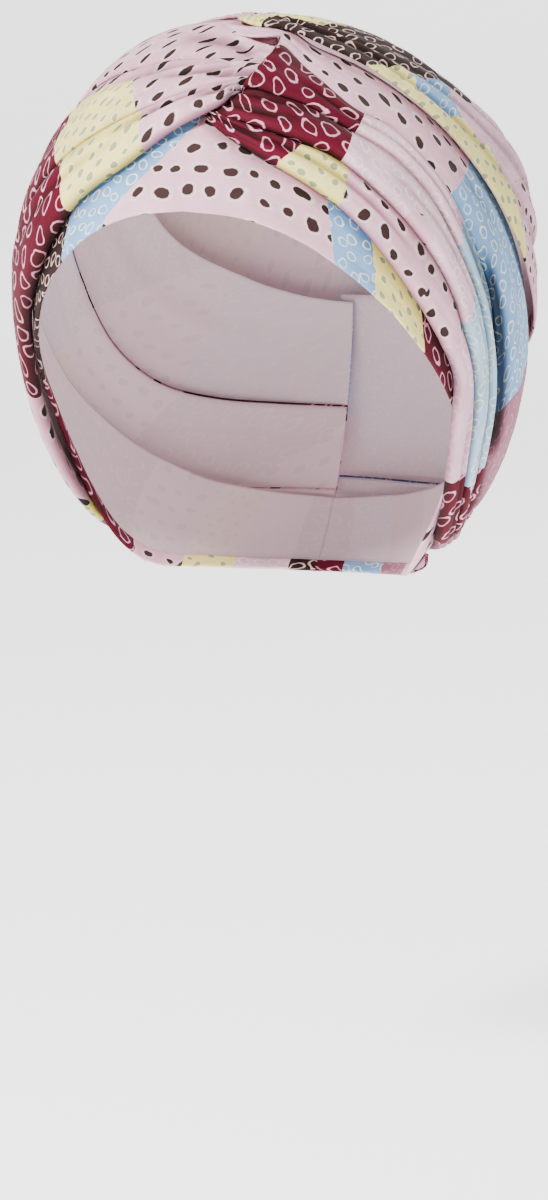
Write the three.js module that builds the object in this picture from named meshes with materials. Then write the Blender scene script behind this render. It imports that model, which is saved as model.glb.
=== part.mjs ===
// A pre-tied jersey turban in its worn form, in millimetres, +Z up, front towards -Y.
// The origin is the middle of the head at the level of the hat line, and +X is the wearer's left.
// Every layer is laid over one head form: a point has a turn in degrees from the front towards the
// wearer's left, a rise as a share of the head's height above or below the hat line, and a lift off it.

import * as THREE from 'three';

// Head form that the turban keeps
const HEAD_HALF_WIDTH = 77;
const HEAD_HALF_LENGTH = 97;
const HEAD_RISE = 89.5;
const HEAD_DROP = 120;

// Cloth walls, and the room between one layer and the next
const HEAD_CLEARANCE = 0.8;
const BAND_WALL = 1.5;
const DRAPE_WALL = 1.6;
const CROWN_WALL = 1.7;
const GATHER_WALL = 1.4;
const LAYER_GAP = 0.5;
const CROSSING_EASE = 0.4;

// Folds, slouch and gathers
const FOLD_HEIGHT = 6;
const FOLD_PADDING = 0.25;
const CROWN_REST = 1.6;
const BAG_SLOUCH = 12;
const BAG_RIPPLE = 0.9;
const BAG_RIPPLES = 9;
const CROSS_ROLL_WIDTH = 8.5;
const CROSS_ROLL_HEIGHT = 3;
const GATHER_DEPTH = 1;
const GATHERS = 30;
const GATHER_EDGE = 0.08;

// Lift of the inner face of each layer, stacked from the head outwards
const BAND_LIFT = HEAD_CLEARANCE;
const DRAPE_LIFT = BAND_LIFT + BAND_WALL + LAYER_GAP;
const OVER_DRAPE_LIFT = DRAPE_LIFT + DRAPE_WALL + LAYER_GAP;

// Steps along each layer
const DRAPE_STEPS = 46;
const BAND_STEPS = 68;
const CROWN_STEPS = 54;
const CROWN_ROWS = 11;
const ROLL_STEPS = 20;
const ROLL_SIDES = 10;
const NARROW_ROWS = 3;

// Knit finish, and the main colour of each part
const KNIT_ROUGHNESS = 0.85;
const BURGUNDY = 0x8a1238;
const PALE_YELLOW = 0xe8dc86;
const DARK_BROWN = 0x3a2420;
const PALE_PINK = 0xd9a9be;
const MAUVE = 0xc78fa6;

const radians = THREE.MathUtils.degToRad;
const clamp = THREE.MathUtils.clamp;
const smoothstep = THREE.MathUtils.smoothstep;

// A named part of the turban with its own finish
function clothMesh(name, geometry, color) {
  const finish = new THREE.MeshStandardMaterial({ color, roughness: KNIT_ROUGHNESS, metalness: 0 });
  const mesh = new THREE.Mesh(geometry, finish);
  mesh.name = name;
  return mesh;
}

// Direction on the head form as latitude and turn in radians
function direction(turn, rise) {
  return { turn: radians(turn), tilt: Math.asin(clamp(rise, -0.999, 0.999)) };
}

// Point of the head form in one direction, lifted along the form's own normal
function headPoint({ turn, tilt }, lift) {
  const height = tilt >= 0 ? HEAD_RISE : HEAD_DROP;
  const across = Math.cos(tilt);
  const unit = new THREE.Vector3(across * Math.sin(turn), -across * Math.cos(turn), Math.sin(tilt));
  const size = new THREE.Vector3(HEAD_HALF_WIDTH, HEAD_HALF_LENGTH, height);
  const normal = unit.clone().divide(size).normalize();
  return unit.multiply(size).addScaledVector(normal, lift);
}

// Smooth value through evenly spaced numbers at a share from 0 to 1
function smoothValue(values, share) {
  const last = values.length - 1;
  const place = clamp(share, 0, 1) * last;
  const index = Math.min(Math.floor(place), last - 1);
  const step = place - index;
  const before = values[Math.max(index - 1, 0)];
  const start = values[index];
  const end = values[index + 1];
  const after = values[Math.min(index + 2, last)];
  const slopeIn = (end - before) / 2;
  const slopeOut = (after - start) / 2;
  const cube = step * step * step;
  const square = step * step;
  return (2 * cube - 3 * square + 1) * start + (cube - 2 * square + step) * slopeIn
    + (3 * square - 2 * cube) * end + (cube - square) * slopeOut;
}

// Straight-line value of a named column in a table whose first column is a rising key
function lookUp(rows, key, column, value) {
  const next = rows.findIndex((row) => row[key] > value);
  if (next === 0) {
    return rows[0][column];
  }
  if (next < 0) {
    return rows[rows.length - 1][column];
  }
  const low = rows[next - 1];
  const high = rows[next];
  const share = (value - low[key]) / (high[key] - low[key]);
  return THREE.MathUtils.lerp(low[column], high[column], share);
}

// Closed solid between an outer and an inner face, both given at steps along and across the cloth
function clothSolid({ along, across, loop = false, pole = false, outer, inner }) {
  const points = [];
  const triangles = [];
  const columns = loop ? along : along + 1;
  const rows = pole ? across : across + 1;
  const faceStart = [0, 0];
  const poles = [0, 0];
  [outer, inner].forEach((face, side) => {
    faceStart[side] = points.length;
    for (let row = 0; row < rows; row += 1) {
      for (let column = 0; column < columns; column += 1) {
        points.push(face(column / along, row / across));
      }
    }
    if (pole) {
      poles[side] = points.length;
      points.push(face(0, 1));
    }
  });
  const at = (side, column, row) => faceStart[side] + row * columns + (column % columns);
  const quad = (a, b, c, d) => triangles.push([a, b, c], [a, c, d]);
  for (let column = 0; column < along; column += 1) {
    for (let row = 0; row < rows - 1; row += 1) {
      quad(at(0, column, row), at(0, column + 1, row), at(0, column + 1, row + 1), at(0, column, row + 1));
      quad(at(1, column, row), at(1, column, row + 1), at(1, column + 1, row + 1), at(1, column + 1, row));
    }
    quad(at(1, column, 0), at(1, column + 1, 0), at(0, column + 1, 0), at(0, column, 0));
    if (pole) {
      triangles.push([at(0, column, rows - 1), at(0, column + 1, rows - 1), poles[0]]);
      triangles.push([at(1, column + 1, rows - 1), at(1, column, rows - 1), poles[1]]);
    } else {
      const edge = rows - 1;
      quad(at(0, column, edge), at(0, column + 1, edge), at(1, column + 1, edge), at(1, column, edge));
    }
  }
  if (!loop) {
    for (let row = 0; row < rows - 1; row += 1) {
      quad(at(0, 0, row), at(0, 0, row + 1), at(1, 0, row + 1), at(1, 0, row));
      quad(at(1, along, row), at(1, along, row + 1), at(0, along, row + 1), at(0, along, row));
    }
  }
  return solidGeometry(points, triangles);
}

// Buffer geometry whose faces point out, whichever way the cloth was laid
function solidGeometry(points, triangles) {
  const volume = triangles.reduce((sum, [a, b, c]) => {
    return sum + points[a].dot(points[b].clone().cross(points[c])) / 6;
  }, 0);
  const order = volume > 0 ? triangles : triangles.map(([a, b, c]) => [a, c, b]);
  const geometry = new THREE.BufferGeometry();
  geometry.setAttribute('position', new THREE.Float32BufferAttribute(points.flatMap((p) => p.toArray()), 3));
  geometry.setIndex(order.flat());
  geometry.computeVertexNormals();
  return geometry;
}

// Half of the face edge and of the band's hidden upper edge, from the middle of the front to the nape
const BAND_SECTIONS = [
  { edgeTurn: 0, edgeRise: 0.37, topTurn: 0, topRise: 0.755 },
  { edgeTurn: 15, edgeRise: 0.345, topTurn: 14, topRise: 0.7 },
  { edgeTurn: 29, edgeRise: 0.265, topTurn: 28, topRise: 0.6 },
  { edgeTurn: 41, edgeRise: 0.14, topTurn: 40, topRise: 0.49 },
  { edgeTurn: 51, edgeRise: 0.01, topTurn: 51, topRise: 0.34 },
  { edgeTurn: 61, edgeRise: -0.11, topTurn: 61, topRise: 0.17 },
  { edgeTurn: 70, edgeRise: -0.22, topTurn: 70, topRise: 0.03 },
  { edgeTurn: 78, edgeRise: -0.33, topTurn: 79, topRise: -0.1 },
  { edgeTurn: 83, edgeRise: -0.47, topTurn: 90, topRise: -0.24 },
  { edgeTurn: 85, edgeRise: -0.61, topTurn: 103, topRise: -0.37 },
  { edgeTurn: 89, edgeRise: -0.73, topTurn: 118, topRise: -0.49 },
  { edgeTurn: 102, edgeRise: -0.8, topTurn: 135, topRise: -0.58 },
  { edgeTurn: 126, edgeRise: -0.825, topTurn: 150, topRise: -0.62 },
  { edgeTurn: 152, edgeRise: -0.84, topTurn: 165, topRise: -0.64 },
  { edgeTurn: 180, edgeRise: -0.845, topTurn: 180, topRise: -0.65 },
];

// Direction on the band at a share round the head and a share from the face edge to its upper edge
function bandDirection(round, across) {
  const side = round < 0.5 ? 1 : -1;
  const share = round < 0.5 ? round * 2 : 2 - round * 2;
  const column = (name) => smoothValue(BAND_SECTIONS.map((row) => row[name]), share);
  const turn = THREE.MathUtils.lerp(column('edgeTurn'), column('topTurn'), across);
  const edgeTilt = Math.asin(column('edgeRise'));
  const topTilt = Math.asin(column('topRise'));
  return { turn: radians(side * turn), tilt: THREE.MathUtils.lerp(edgeTilt, topTilt, across) };
}

// Fitted band: face edge at the front, under the nape at the back
function brimBand() {
  return clothSolid({
    along: BAND_STEPS,
    across: NARROW_ROWS,
    loop: true,
    outer: (round, across) => headPoint(bandDirection(round, across), BAND_LIFT + BAND_WALL),
    inner: (round, across) => headPoint(bandDirection(round, across), BAND_LIFT),
  });
}

// Height of one fold across its own width, from its lower roll to where the next fold covers it
const FOLD_PROFILE = [
  { across: 0, height: 0 },
  { across: 0.12, height: 0.78 },
  { across: 0.34, height: 1 },
  { across: 0.62, height: 0.82 },
  { across: 0.9, height: 0.42 },
  { across: 1, height: 0.12 },
];

// Right drape, a row for each section from its tip at the crossing to the middle of the nape.
// Lines across it: lower edge, crease under the wide fold, soft dip in it, slit, and hidden top.
const RIGHT_LINES = ['edge', 'crease', 'dip', 'slit', 'top'];
const RIGHT_SECTIONS = [
  { edge: [0, 0.69], crease: [2.5, 0.705], dip: [12.5, 0.77], slit: [26, 0.905], top: [29, 0.955] },
  { edge: [9, 0.62], crease: [12, 0.665], dip: [20, 0.755], slit: [32, 0.88], top: [41, 0.945] },
  { edge: [20, 0.54], crease: [25, 0.61], dip: [32, 0.715], slit: [40, 0.81], top: [52, 0.905] },
  { edge: [33, 0.435], crease: [38, 0.54], dip: [43, 0.635], slit: [49, 0.7], top: [65, 0.84] },
  { edge: [43, 0.315], crease: [49, 0.41], dip: [55, 0.54], slit: [59, 0.63], top: [76, 0.74] },
  { edge: [52, 0.15], crease: [58, 0.265], dip: [64, 0.4], slit: [68, 0.49], top: [86, 0.615] },
  { edge: [59, 0.01], crease: [64.5, 0.12], dip: [69, 0.235], slit: [74, 0.31], top: [94, 0.47] },
  { edge: [66, -0.1], crease: [69.5, -0.03], dip: [74.5, 0.06], slit: [80, 0.085], top: [101, 0.33] },
  { edge: [72, -0.2], crease: [75, -0.16], dip: [79.5, -0.1], slit: [84.5, -0.09], top: [108, 0.2] },
  { edge: [74, -0.33], crease: [78, -0.29], dip: [83, -0.25], slit: [88, -0.24], top: [114, 0.1] },
  { edge: [77, -0.46], crease: [81, -0.43], dip: [86, -0.4], slit: [91, -0.38], top: [121, 0.02] },
  { edge: [84, -0.6], crease: [87, -0.56], dip: [91, -0.53], slit: [97, -0.49], top: [131, -0.04] },
  { edge: [94, -0.69], crease: [97, -0.655], dip: [102, -0.62], slit: [110, -0.57], top: [144, -0.08] },
  { edge: [118, -0.735], crease: [120, -0.7], dip: [124, -0.66], slit: [130, -0.61], top: [155, -0.1] },
  { edge: [147, -0.75], crease: [148, -0.71], dip: [150, -0.67], slit: [153, -0.615], top: [167, -0.11] },
  { edge: [184, -0.76], crease: [184, -0.715], dip: [184, -0.67], slit: [184, -0.61], top: [184, -0.11] },
];

// Heights of the right drape's folds, and of the floor under them, as shares of FOLD_HEIGHT
const RIGHT_FOLDS = [
  { rib: 0, wide: 0, upper: 0.35, outer: 0.15, floor: 0 },
  { rib: 0.2, wide: 0.4, upper: 0.5, outer: 0.2, floor: 0.05 },
  { rib: 0.35, wide: 0.65, upper: 0.5, outer: 0.25, floor: 0.1 },
  { rib: 0.4, wide: 0.75, upper: 0.5, outer: 0.35, floor: 0.15 },
  { rib: 0.4, wide: 0.75, upper: 0.5, outer: 0.45, floor: 0.2 },
  { rib: 0.4, wide: 0.75, upper: 0.55, outer: 0.55, floor: 0.2 },
  { rib: 0.4, wide: 0.75, upper: 0.6, outer: 0.65, floor: 0.25 },
  { rib: 0.4, wide: 0.75, upper: 0.65, outer: 0.8, floor: 0.3 },
  { rib: 0.4, wide: 0.75, upper: 0.7, outer: 0.9, floor: 0.3 },
  { rib: 0.4, wide: 0.7, upper: 0.7, outer: 0.95, floor: 0.35 },
  { rib: 0.35, wide: 0.6, upper: 0.65, outer: 0.95, floor: 0.35 },
  { rib: 0.3, wide: 0.5, upper: 0.55, outer: 0.85, floor: 0.35 },
  { rib: 0.25, wide: 0.4, upper: 0.4, outer: 0.7, floor: 0.35 },
  { rib: 0.2, wide: 0.3, upper: 0.35, outer: 0.6, floor: 0.35 },
  { rib: 0.2, wide: 0.25, upper: 0.3, outer: 0.6, floor: 0.35 },
  { rib: 0.2, wide: 0.25, upper: 0.3, outer: 0.6, floor: 0.35 },
];

// Left drape, from its end under the crossing round the wearer's right side to the nape.
// Lines across it: hem, the crease over the ear, the dip below the crest, and the hidden top.
const LEFT_LINES = ['edge', 'crease', 'dip', 'top'];
const LEFT_SECTIONS = [
  { edge: [10.4, 0.77], crease: [17, 0.805], dip: [25, 0.86], top: [31, 0.945] },
  { edge: [7.2, 0.715], crease: [8, 0.79], dip: [11, 0.87], top: [15, 0.968] },
  { edge: [2.3, 0.68], crease: [0, 0.765], dip: [-3, 0.86], top: [2, 0.989] },
  { edge: [-8, 0.62], crease: [-11, 0.72], dip: [-20, 0.85], top: [-52, 0.998] },
  { edge: [-20, 0.51], crease: [-25, 0.65], dip: [-38, 0.82], top: [-105, 0.986] },
  { edge: [-33, 0.39], crease: [-38, 0.57], dip: [-54, 0.78], top: [-112, 0.95] },
  { edge: [-42, 0.25], crease: [-50, 0.47], dip: [-67, 0.72], top: [-112, 0.88] },
  { edge: [-50, 0.1], crease: [-60, 0.36], dip: [-76, 0.63], top: [-112, 0.78] },
  { edge: [-57, -0.01], crease: [-67, 0.26], dip: [-83, 0.51], top: [-113, 0.65] },
  { edge: [-63, -0.11], crease: [-73, 0.13], dip: [-89, 0.38], top: [-116, 0.51] },
  { edge: [-67, -0.22], crease: [-79, -0.01], dip: [-95, 0.23], top: [-120, 0.36] },
  { edge: [-71, -0.36], crease: [-84, -0.17], dip: [-101, 0.08], top: [-125, 0.23] },
  { edge: [-77, -0.5], crease: [-90, -0.33], dip: [-107, -0.07], top: [-132, 0.12] },
  { edge: [-86, -0.63], crease: [-98, -0.47], dip: [-115, -0.22], top: [-141, 0.03] },
  { edge: [-99, -0.695], crease: [-111, -0.58], dip: [-127, -0.33], top: [-151, -0.04] },
  { edge: [-121, -0.735], crease: [-129, -0.61], dip: [-142, -0.38], top: [-161, -0.08] },
  { edge: [-149, -0.75], crease: [-152, -0.63], dip: [-160, -0.4], top: [-170, -0.1] },
  { edge: [-179.7, -0.76], crease: [-179.7, -0.64], dip: [-179.7, -0.41], top: [-179.7, -0.11] },
];

// Heights of the left drape's folds, and of the floor under them, as shares of FOLD_HEIGHT
const LEFT_FOLDS = [
  { lower: 0.05, middle: 0, upper: 0, floor: 0 },
  { lower: 0.35, middle: 0.25, upper: 0, floor: 0.1 },
  { lower: 0.4, middle: 0.35, upper: 0.2, floor: 0.25 },
  { lower: 0.42, middle: 0.4, upper: 0.35, floor: 0.4 },
  { lower: 0.45, middle: 0.42, upper: 0.45, floor: 0.5 },
  { lower: 0.5, middle: 0.45, upper: 0.5, floor: 0.5 },
  { lower: 0.6, middle: 0.5, upper: 0.5, floor: 0.45 },
  { lower: 0.65, middle: 0.55, upper: 0.5, floor: 0.4 },
  { lower: 0.7, middle: 0.65, upper: 0.5, floor: 0.35 },
  { lower: 0.7, middle: 0.7, upper: 0.5, floor: 0.3 },
  { lower: 0.65, middle: 0.7, upper: 0.5, floor: 0.3 },
  { lower: 0.6, middle: 0.65, upper: 0.55, floor: 0.35 },
  { lower: 0.5, middle: 0.6, upper: 0.6, floor: 0.4 },
  { lower: 0.4, middle: 0.5, upper: 0.6, floor: 0.4 },
  { lower: 0.35, middle: 0.45, upper: 0.5, floor: 0.4 },
  { lower: 0.3, middle: 0.35, upper: 0.4, floor: 0.4 },
  { lower: 0.25, middle: 0.25, upper: 0.3, floor: 0.3 },
  { lower: 0, middle: 0, upper: 0, floor: 0 },
];

// Direction at a share along a drape and a place across it, counted in folds
function drapeDirection(sections, lines, along, place) {
  const fold = Math.min(Math.floor(place), lines.length - 2);
  const low = lines[fold];
  const high = lines[fold + 1];
  const turnOf = (line) => smoothValue(sections.map((row) => row[line][0]), along);
  const tiltOf = (line) => smoothValue(sections.map((row) => Math.asin(row[line][1])), along);
  const share = place - fold;
  return {
    turn: radians(THREE.MathUtils.lerp(turnOf(low), turnOf(high), share)),
    tilt: THREE.MathUtils.lerp(tiltOf(low), tiltOf(high), share),
  };
}

// Folds over which the floor under them rises from each edge of a drape
const FLOOR_RAMP = 0.7;

// Height over the drape's base at the same place, as a share of FOLD_HEIGHT
function foldShare(folds, along, place) {
  const names = Object.keys(folds[0]);
  const foldCount = names.length - 1;
  const fold = Math.min(Math.floor(place), foldCount - 1);
  const height = smoothValue(folds.map((row) => row[names[fold]]), along);
  const fromEdge = smoothstep(place, 0, FLOOR_RAMP);
  const fromTop = 1 - smoothstep(place, foldCount - FLOOR_RAMP, foldCount);
  const floor = smoothValue(folds.map((row) => row.floor), along) * fromEdge * fromTop;
  return floor + height * lookUp(FOLD_PROFILE, 'across', 'height', place - fold);
}

// Places across a drape: the profile's own steps, repeated for each fold
function foldPlaces(foldCount) {
  const places = [0];
  for (let fold = 0; fold < foldCount; fold += 1) {
    FOLD_PROFILE.slice(1).forEach((row) => places.push(fold + row.across));
  }
  return places;
}

// A drape as one wall that follows its folds, a little thicker where they stand high
function drapeSolid(sections, lines, folds, ride) {
  const places = foldPlaces(lines.length - 1);
  const across = places.length - 1;
  const face = (wall, padding) => (along, share) => {
    const place = places[Math.round(share * across)];
    const height = FOLD_HEIGHT * foldShare(folds, along, place) * padding;
    const lift = DRAPE_LIFT + wall + height + ride(along, place);
    return headPoint(drapeDirection(sections, lines, along, place), lift);
  };
  return clothSolid({
    along: DRAPE_STEPS,
    across,
    outer: face(DRAPE_WALL, 1),
    inner: face(0, 1 - FOLD_PADDING),
  });
}

// Where one drape rides on the other it stands a wall and a gap higher. Runs are shares of a drape's
// length, and places across it are counted in folds.
const RIDE_LIFT = DRAPE_WALL + LAYER_GAP + CROSSING_EASE;
const RIDE_RUN = 0.12;
const RIDE_START = 0.03;
const LAP_RUN = 0.06;
const NOTCH_PLACE = 1.8;
const NOTCH_RAMP = 0.25;
const HEM_PLACE = 0.35;
const HEM_END_PLACE = 0.9;
const CORNER_RUN = 0.05;
const CORNER_REACH = 0.15;

// The right drape rides over the left one above the notch, and laps over it at the nape
function rightRide(along, place) {
  const aboveNotch = smoothstep(place, NOTCH_PLACE, NOTCH_PLACE + NOTCH_RAMP);
  const atCrossing = 1 - smoothstep(along, RIDE_START, RIDE_RUN);
  const atNape = smoothstep(along, 1 - 2 * LAP_RUN, 1 - LAP_RUN);
  return RIDE_LIFT * (aboveNotch * atCrossing + atNape);
}

// The left drape's hem rides over the right drape's tip
function leftRide(along, place) {
  const reach = THREE.MathUtils.lerp(CORNER_REACH, 1, smoothstep(along, 0, CORNER_RUN));
  const byHem = 1 - smoothstep(place, HEM_PLACE * reach, HEM_END_PLACE * reach);
  return RIDE_LIFT * byHem * (1 - smoothstep(along, RIDE_RUN, 2 * RIDE_RUN));
}

// Crown rim from the front round the wearer's left, and the folds that it rests on there
const CROWN_RIM = [
  { turn: 0, rise: 0.963, rest: 0.45 },
  { turn: 15, rise: 0.942, rest: 0.55 },
  { turn: 32, rise: 0.93, rest: 0.6 },
  { turn: 46, rise: 0.885, rest: 0.55 },
  { turn: 60, rise: 0.815, rest: 0.55 },
  { turn: 70, rise: 0.71, rest: 0.6 },
  { turn: 80, rise: 0.55, rest: 0.7 },
  { turn: 88, rise: 0.38, rest: 0.85 },
  { turn: 96, rise: 0.2, rest: 1 },
  { turn: 105, rise: 0.02, rest: 1.15 },
  { turn: 118, rise: -0.12, rest: 1.2 },
  { turn: 136, rise: -0.21, rest: 1.15 },
  { turn: 158, rise: -0.26, rest: 1.2 },
  { turn: 180, rise: -0.28, rest: 1.3 },
  { turn: 202, rise: -0.26, rest: 1.15 },
  { turn: 222, rise: -0.19, rest: 1.1 },
  { turn: 236, rise: -0.07, rest: 1.1 },
  { turn: 245, rise: 0.1, rest: 1 },
  { turn: 251, rise: 0.27, rest: 0.9 },
  { turn: 255, rise: 0.44, rest: 0.85 },
  { turn: 258, rise: 0.6, rest: 0.8 },
  { turn: 260, rise: 0.75, rest: 0.7 },
  { turn: 261, rise: 0.87, rest: 0.55 },
  { turn: 263, rise: 0.945, rest: 0.4 },
  { turn: 272, rise: 0.98, rest: 0.25 },
  { turn: 300, rise: 0.993, rest: 0.15 },
  { turn: 335, rise: 0.986, rest: 0.25 },
  { turn: 360, rise: 0.963, rest: 0.45 },
];

// Slouch of the bag by height, as a share of BAG_SLOUCH
const BAG_BY_RISE = [
  { rise: -0.4, slouch: 0.7 },
  { rise: -0.12, slouch: 0.78 },
  { rise: 0.02, slouch: 0.92 },
  { rise: 0.2, slouch: 1 },
  { rise: 0.34, slouch: 0.96 },
  { rise: 0.5, slouch: 0.8 },
  { rise: 0.65, slouch: 0.52 },
  { rise: 0.8, slouch: 0.3 },
  { rise: 0.93, slouch: 0.14 },
  { rise: 1, slouch: 0.08 },
];

// Slouch of the bag by turn, as a share of the slouch at its height
const BAG_BY_TURN = [
  { turn: 0, slouch: 0.1 },
  { turn: 40, slouch: 0.18 },
  { turn: 62, slouch: 0.35 },
  { turn: 85, slouch: 0.75 },
  { turn: 105, slouch: 1 },
  { turn: 180, slouch: 1.2 },
];

// Where the crown's meridians meet, behind the top of the head
const CROWN_POLE = direction(180, 0.93);

// Shares from the rim to the pole over which the crown leaves the folds that it rests on
const RIM_FLAT = 0.04;
const RIM_REACH = 0.4;

// Unit vector of a direction on the head form
function unitVector({ turn, tilt }) {
  const across = Math.cos(tilt);
  return new THREE.Vector3(across * Math.sin(turn), -across * Math.cos(turn), Math.sin(tilt));
}

// Direction on the crown at a share round its rim and a share from the rim to its pole
function crownDirection(round, toPole) {
  const turn = smoothValue(CROWN_RIM.map((row) => row.turn), round);
  const rise = smoothValue(CROWN_RIM.map((row) => row.rise), round);
  const start = unitVector(direction(turn, rise));
  const end = unitVector(CROWN_POLE);
  const angle = start.angleTo(end);
  const fromStart = Math.sin((1 - toPole) * angle) / Math.sin(angle);
  const fromEnd = Math.sin(toPole * angle) / Math.sin(angle);
  const unit = start.multiplyScalar(fromStart).addScaledVector(end, fromEnd);
  return { turn: Math.atan2(unit.x, -unit.y), tilt: Math.asin(clamp(unit.z, -1, 1)) };
}

// Lift of the crown's inner face: it rests on the drapes at its rim and slouches above them
function crownLift(round, toPole) {
  const place = crownDirection(round, toPole);
  const sideTurn = Math.abs(THREE.MathUtils.radToDeg(place.turn));
  const slouch = lookUp(BAG_BY_RISE, 'rise', 'slouch', Math.sin(place.tilt))
    * lookUp(BAG_BY_TURN, 'turn', 'slouch', sideTurn);
  const wave = Math.cos(2 * Math.PI * BAG_RIPPLES * round) * Math.sin(Math.PI * toPole);
  const rest = smoothValue(CROWN_RIM.map((row) => row.rest), round);
  const atRim = OVER_DRAPE_LIFT + FOLD_HEIGHT * rest;
  const freeLift = DRAPE_LIFT + CROWN_REST + (BAG_SLOUCH + BAG_RIPPLE * wave) * slouch;
  const onFolds = 1 - smoothstep(toPole, RIM_FLAT, RIM_REACH);
  return THREE.MathUtils.lerp(freeLift, Math.max(atRim, freeLift * (1 - onFolds)), onFolds);
}

// Share from the rim to the pole, with closer steps where the bag turns under
const RIM_CLOSENESS = 1.5;
const toPoleAt = (share) => share ** RIM_CLOSENESS;

// Cap over the top and the back, with the bag that slouches over the drapes
function crown() {
  const face = (wall) => (round, share) => {
    const toPole = toPoleAt(share);
    return headPoint(crownDirection(round, toPole), crownLift(round, toPole) + wall);
  };
  return clothSolid({
    along: CROWN_STEPS,
    across: CROWN_ROWS,
    loop: true,
    pole: true,
    outer: face(CROWN_WALL),
    inner: face(0),
  });
}

// Run of the rolled edge behind the crossing: its girth as a share of its full size, and the height
// of the folds under it
const CROSS_ROLL = [
  { turn: -14, rise: 0.95, girth: 0.3, rest: 0.55 },
  { turn: -5, rise: 0.943, girth: 0.7, rest: 0.45 },
  { turn: 3, rise: 0.934, girth: 0.95, rest: 0.35 },
  { turn: 10, rise: 0.922, girth: 1, rest: 0.25 },
  { turn: 16, rise: 0.91, girth: 0.85, rest: 0.15 },
  { turn: 21, rise: 0.9, girth: 0.5, rest: 0.1 },
];

// Rolled edge of cloth that leaves the crossing and runs back under the crown
function crossRoll() {
  const column = (name, along) => smoothValue(CROSS_ROLL.map((row) => row[name]), along);
  const surface = (along, around) => {
    const place = direction(column('turn', along), column('rise', along));
    const girth = column('girth', along);
    const angle = 2 * Math.PI * around;
    const width = CROSS_ROLL_WIDTH * girth / 2;
    const height = CROSS_ROLL_HEIGHT * girth / 2;
    const tilt = place.tilt + width * Math.cos(angle) / HEAD_HALF_LENGTH;
    const rest = OVER_DRAPE_LIFT + FOLD_HEIGHT * column('rest', along);
    return headPoint({ turn: place.turn, tilt }, rest + height * (1 + Math.sin(angle)));
  };
  return tubeSolid(ROLL_STEPS, ROLL_SIDES, surface);
}

// Closed tube through sections given round its girth, with both ends capped
function tubeSolid(along, sides, surface) {
  const points = [];
  const triangles = [];
  for (let step = 0; step <= along; step += 1) {
    for (let side = 0; side < sides; side += 1) {
      points.push(surface(step / along, side / sides));
    }
  }
  const at = (step, side) => step * sides + (side % sides);
  for (let step = 0; step < along; step += 1) {
    for (let side = 0; side < sides; side += 1) {
      triangles.push([at(step, side), at(step + 1, side), at(step + 1, side + 1)]);
      triangles.push([at(step, side), at(step + 1, side + 1), at(step, side + 1)]);
    }
  }
  for (let side = 1; side < sides - 1; side += 1) {
    triangles.push([at(0, 0), at(0, side), at(0, side + 1)]);
    triangles.push([at(along, 0), at(along, side + 1), at(along, side)]);
  }
  return solidGeometry(points, triangles);
}

// Lower and upper edge of the gathered strip, from one end round the nape to the other
const NAPE_SECTIONS = [
  { turn: 99, lowRise: -0.785, highRise: -0.735 },
  { turn: 126, lowRise: -0.815, highRise: -0.76 },
  { turn: 180, lowRise: -0.835, highRise: -0.78 },
  { turn: 234, lowRise: -0.815, highRise: -0.76 },
  { turn: 261, lowRise: -0.785, highRise: -0.735 },
];

// Gathered strip that draws both drapes in under the nape
function napeGather() {
  const column = (name, along) => smoothValue(NAPE_SECTIONS.map((row) => row[name]), along);
  const face = (wall) => (along, across) => {
    const rise = THREE.MathUtils.lerp(column('lowRise', along), column('highRise', along), across);
    const bulge = Math.sin(Math.PI * clamp(across, GATHER_EDGE, 1 - GATHER_EDGE));
    const ruche = (1 + Math.cos(2 * Math.PI * GATHERS * along)) / 2;
    const lift = DRAPE_LIFT + wall + GATHER_DEPTH * ruche * bulge;
    return headPoint(direction(column('turn', along), rise), lift);
  };
  return clothSolid({
    along: GATHERS * 2,
    across: NARROW_ROWS,
    outer: face(GATHER_WALL),
    inner: face(0),
  });
}

const rightDrape = drapeSolid(RIGHT_SECTIONS, RIGHT_LINES, RIGHT_FOLDS, rightRide);
const leftDrape = drapeSolid(LEFT_SECTIONS, LEFT_LINES, LEFT_FOLDS, leftRide);

const turban = new THREE.Group();
turban.name = 'turban_headwrap';
turban.add(clothMesh('brim_band', brimBand(), PALE_PINK));
turban.add(clothMesh('right_drape', rightDrape, BURGUNDY));
turban.add(clothMesh('left_drape', leftDrape, PALE_YELLOW));
turban.add(clothMesh('crown', crown(), DARK_BROWN));
turban.add(clothMesh('cross_roll', crossRoll(), PALE_PINK));
turban.add(clothMesh('nape_gather', napeGather(), MAUVE));

export default turban;
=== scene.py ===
"""A pre-tied jersey turban in a tie-dye patchwork print, laid over the solid model."""

import math

import bmesh
import bpy
import numpy as np
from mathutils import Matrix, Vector


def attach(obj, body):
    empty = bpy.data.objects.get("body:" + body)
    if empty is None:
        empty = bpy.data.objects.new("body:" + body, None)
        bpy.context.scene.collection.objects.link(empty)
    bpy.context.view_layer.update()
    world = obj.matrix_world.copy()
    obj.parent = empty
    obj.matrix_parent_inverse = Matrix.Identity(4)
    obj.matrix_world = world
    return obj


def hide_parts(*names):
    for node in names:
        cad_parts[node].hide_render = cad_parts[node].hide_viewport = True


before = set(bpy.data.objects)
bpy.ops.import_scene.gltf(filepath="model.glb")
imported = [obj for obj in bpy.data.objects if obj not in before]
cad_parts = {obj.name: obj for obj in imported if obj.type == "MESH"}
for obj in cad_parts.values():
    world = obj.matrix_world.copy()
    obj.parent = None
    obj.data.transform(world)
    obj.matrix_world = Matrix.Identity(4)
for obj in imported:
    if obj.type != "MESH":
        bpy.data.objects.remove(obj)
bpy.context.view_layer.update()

# Sizes in millimetres. The inner form and the layers over it are the solid model's own.
MM = 0.001
INNER_HALF_WIDTH = 77.0
INNER_HALF_LENGTH = 97.0
INNER_RISE = 89.5
INNER_DROP = 120.0
BAND_FACE = 2.3
DRAPE_FACE = 4.4
OVER_DRAPE = 4.9
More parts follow.
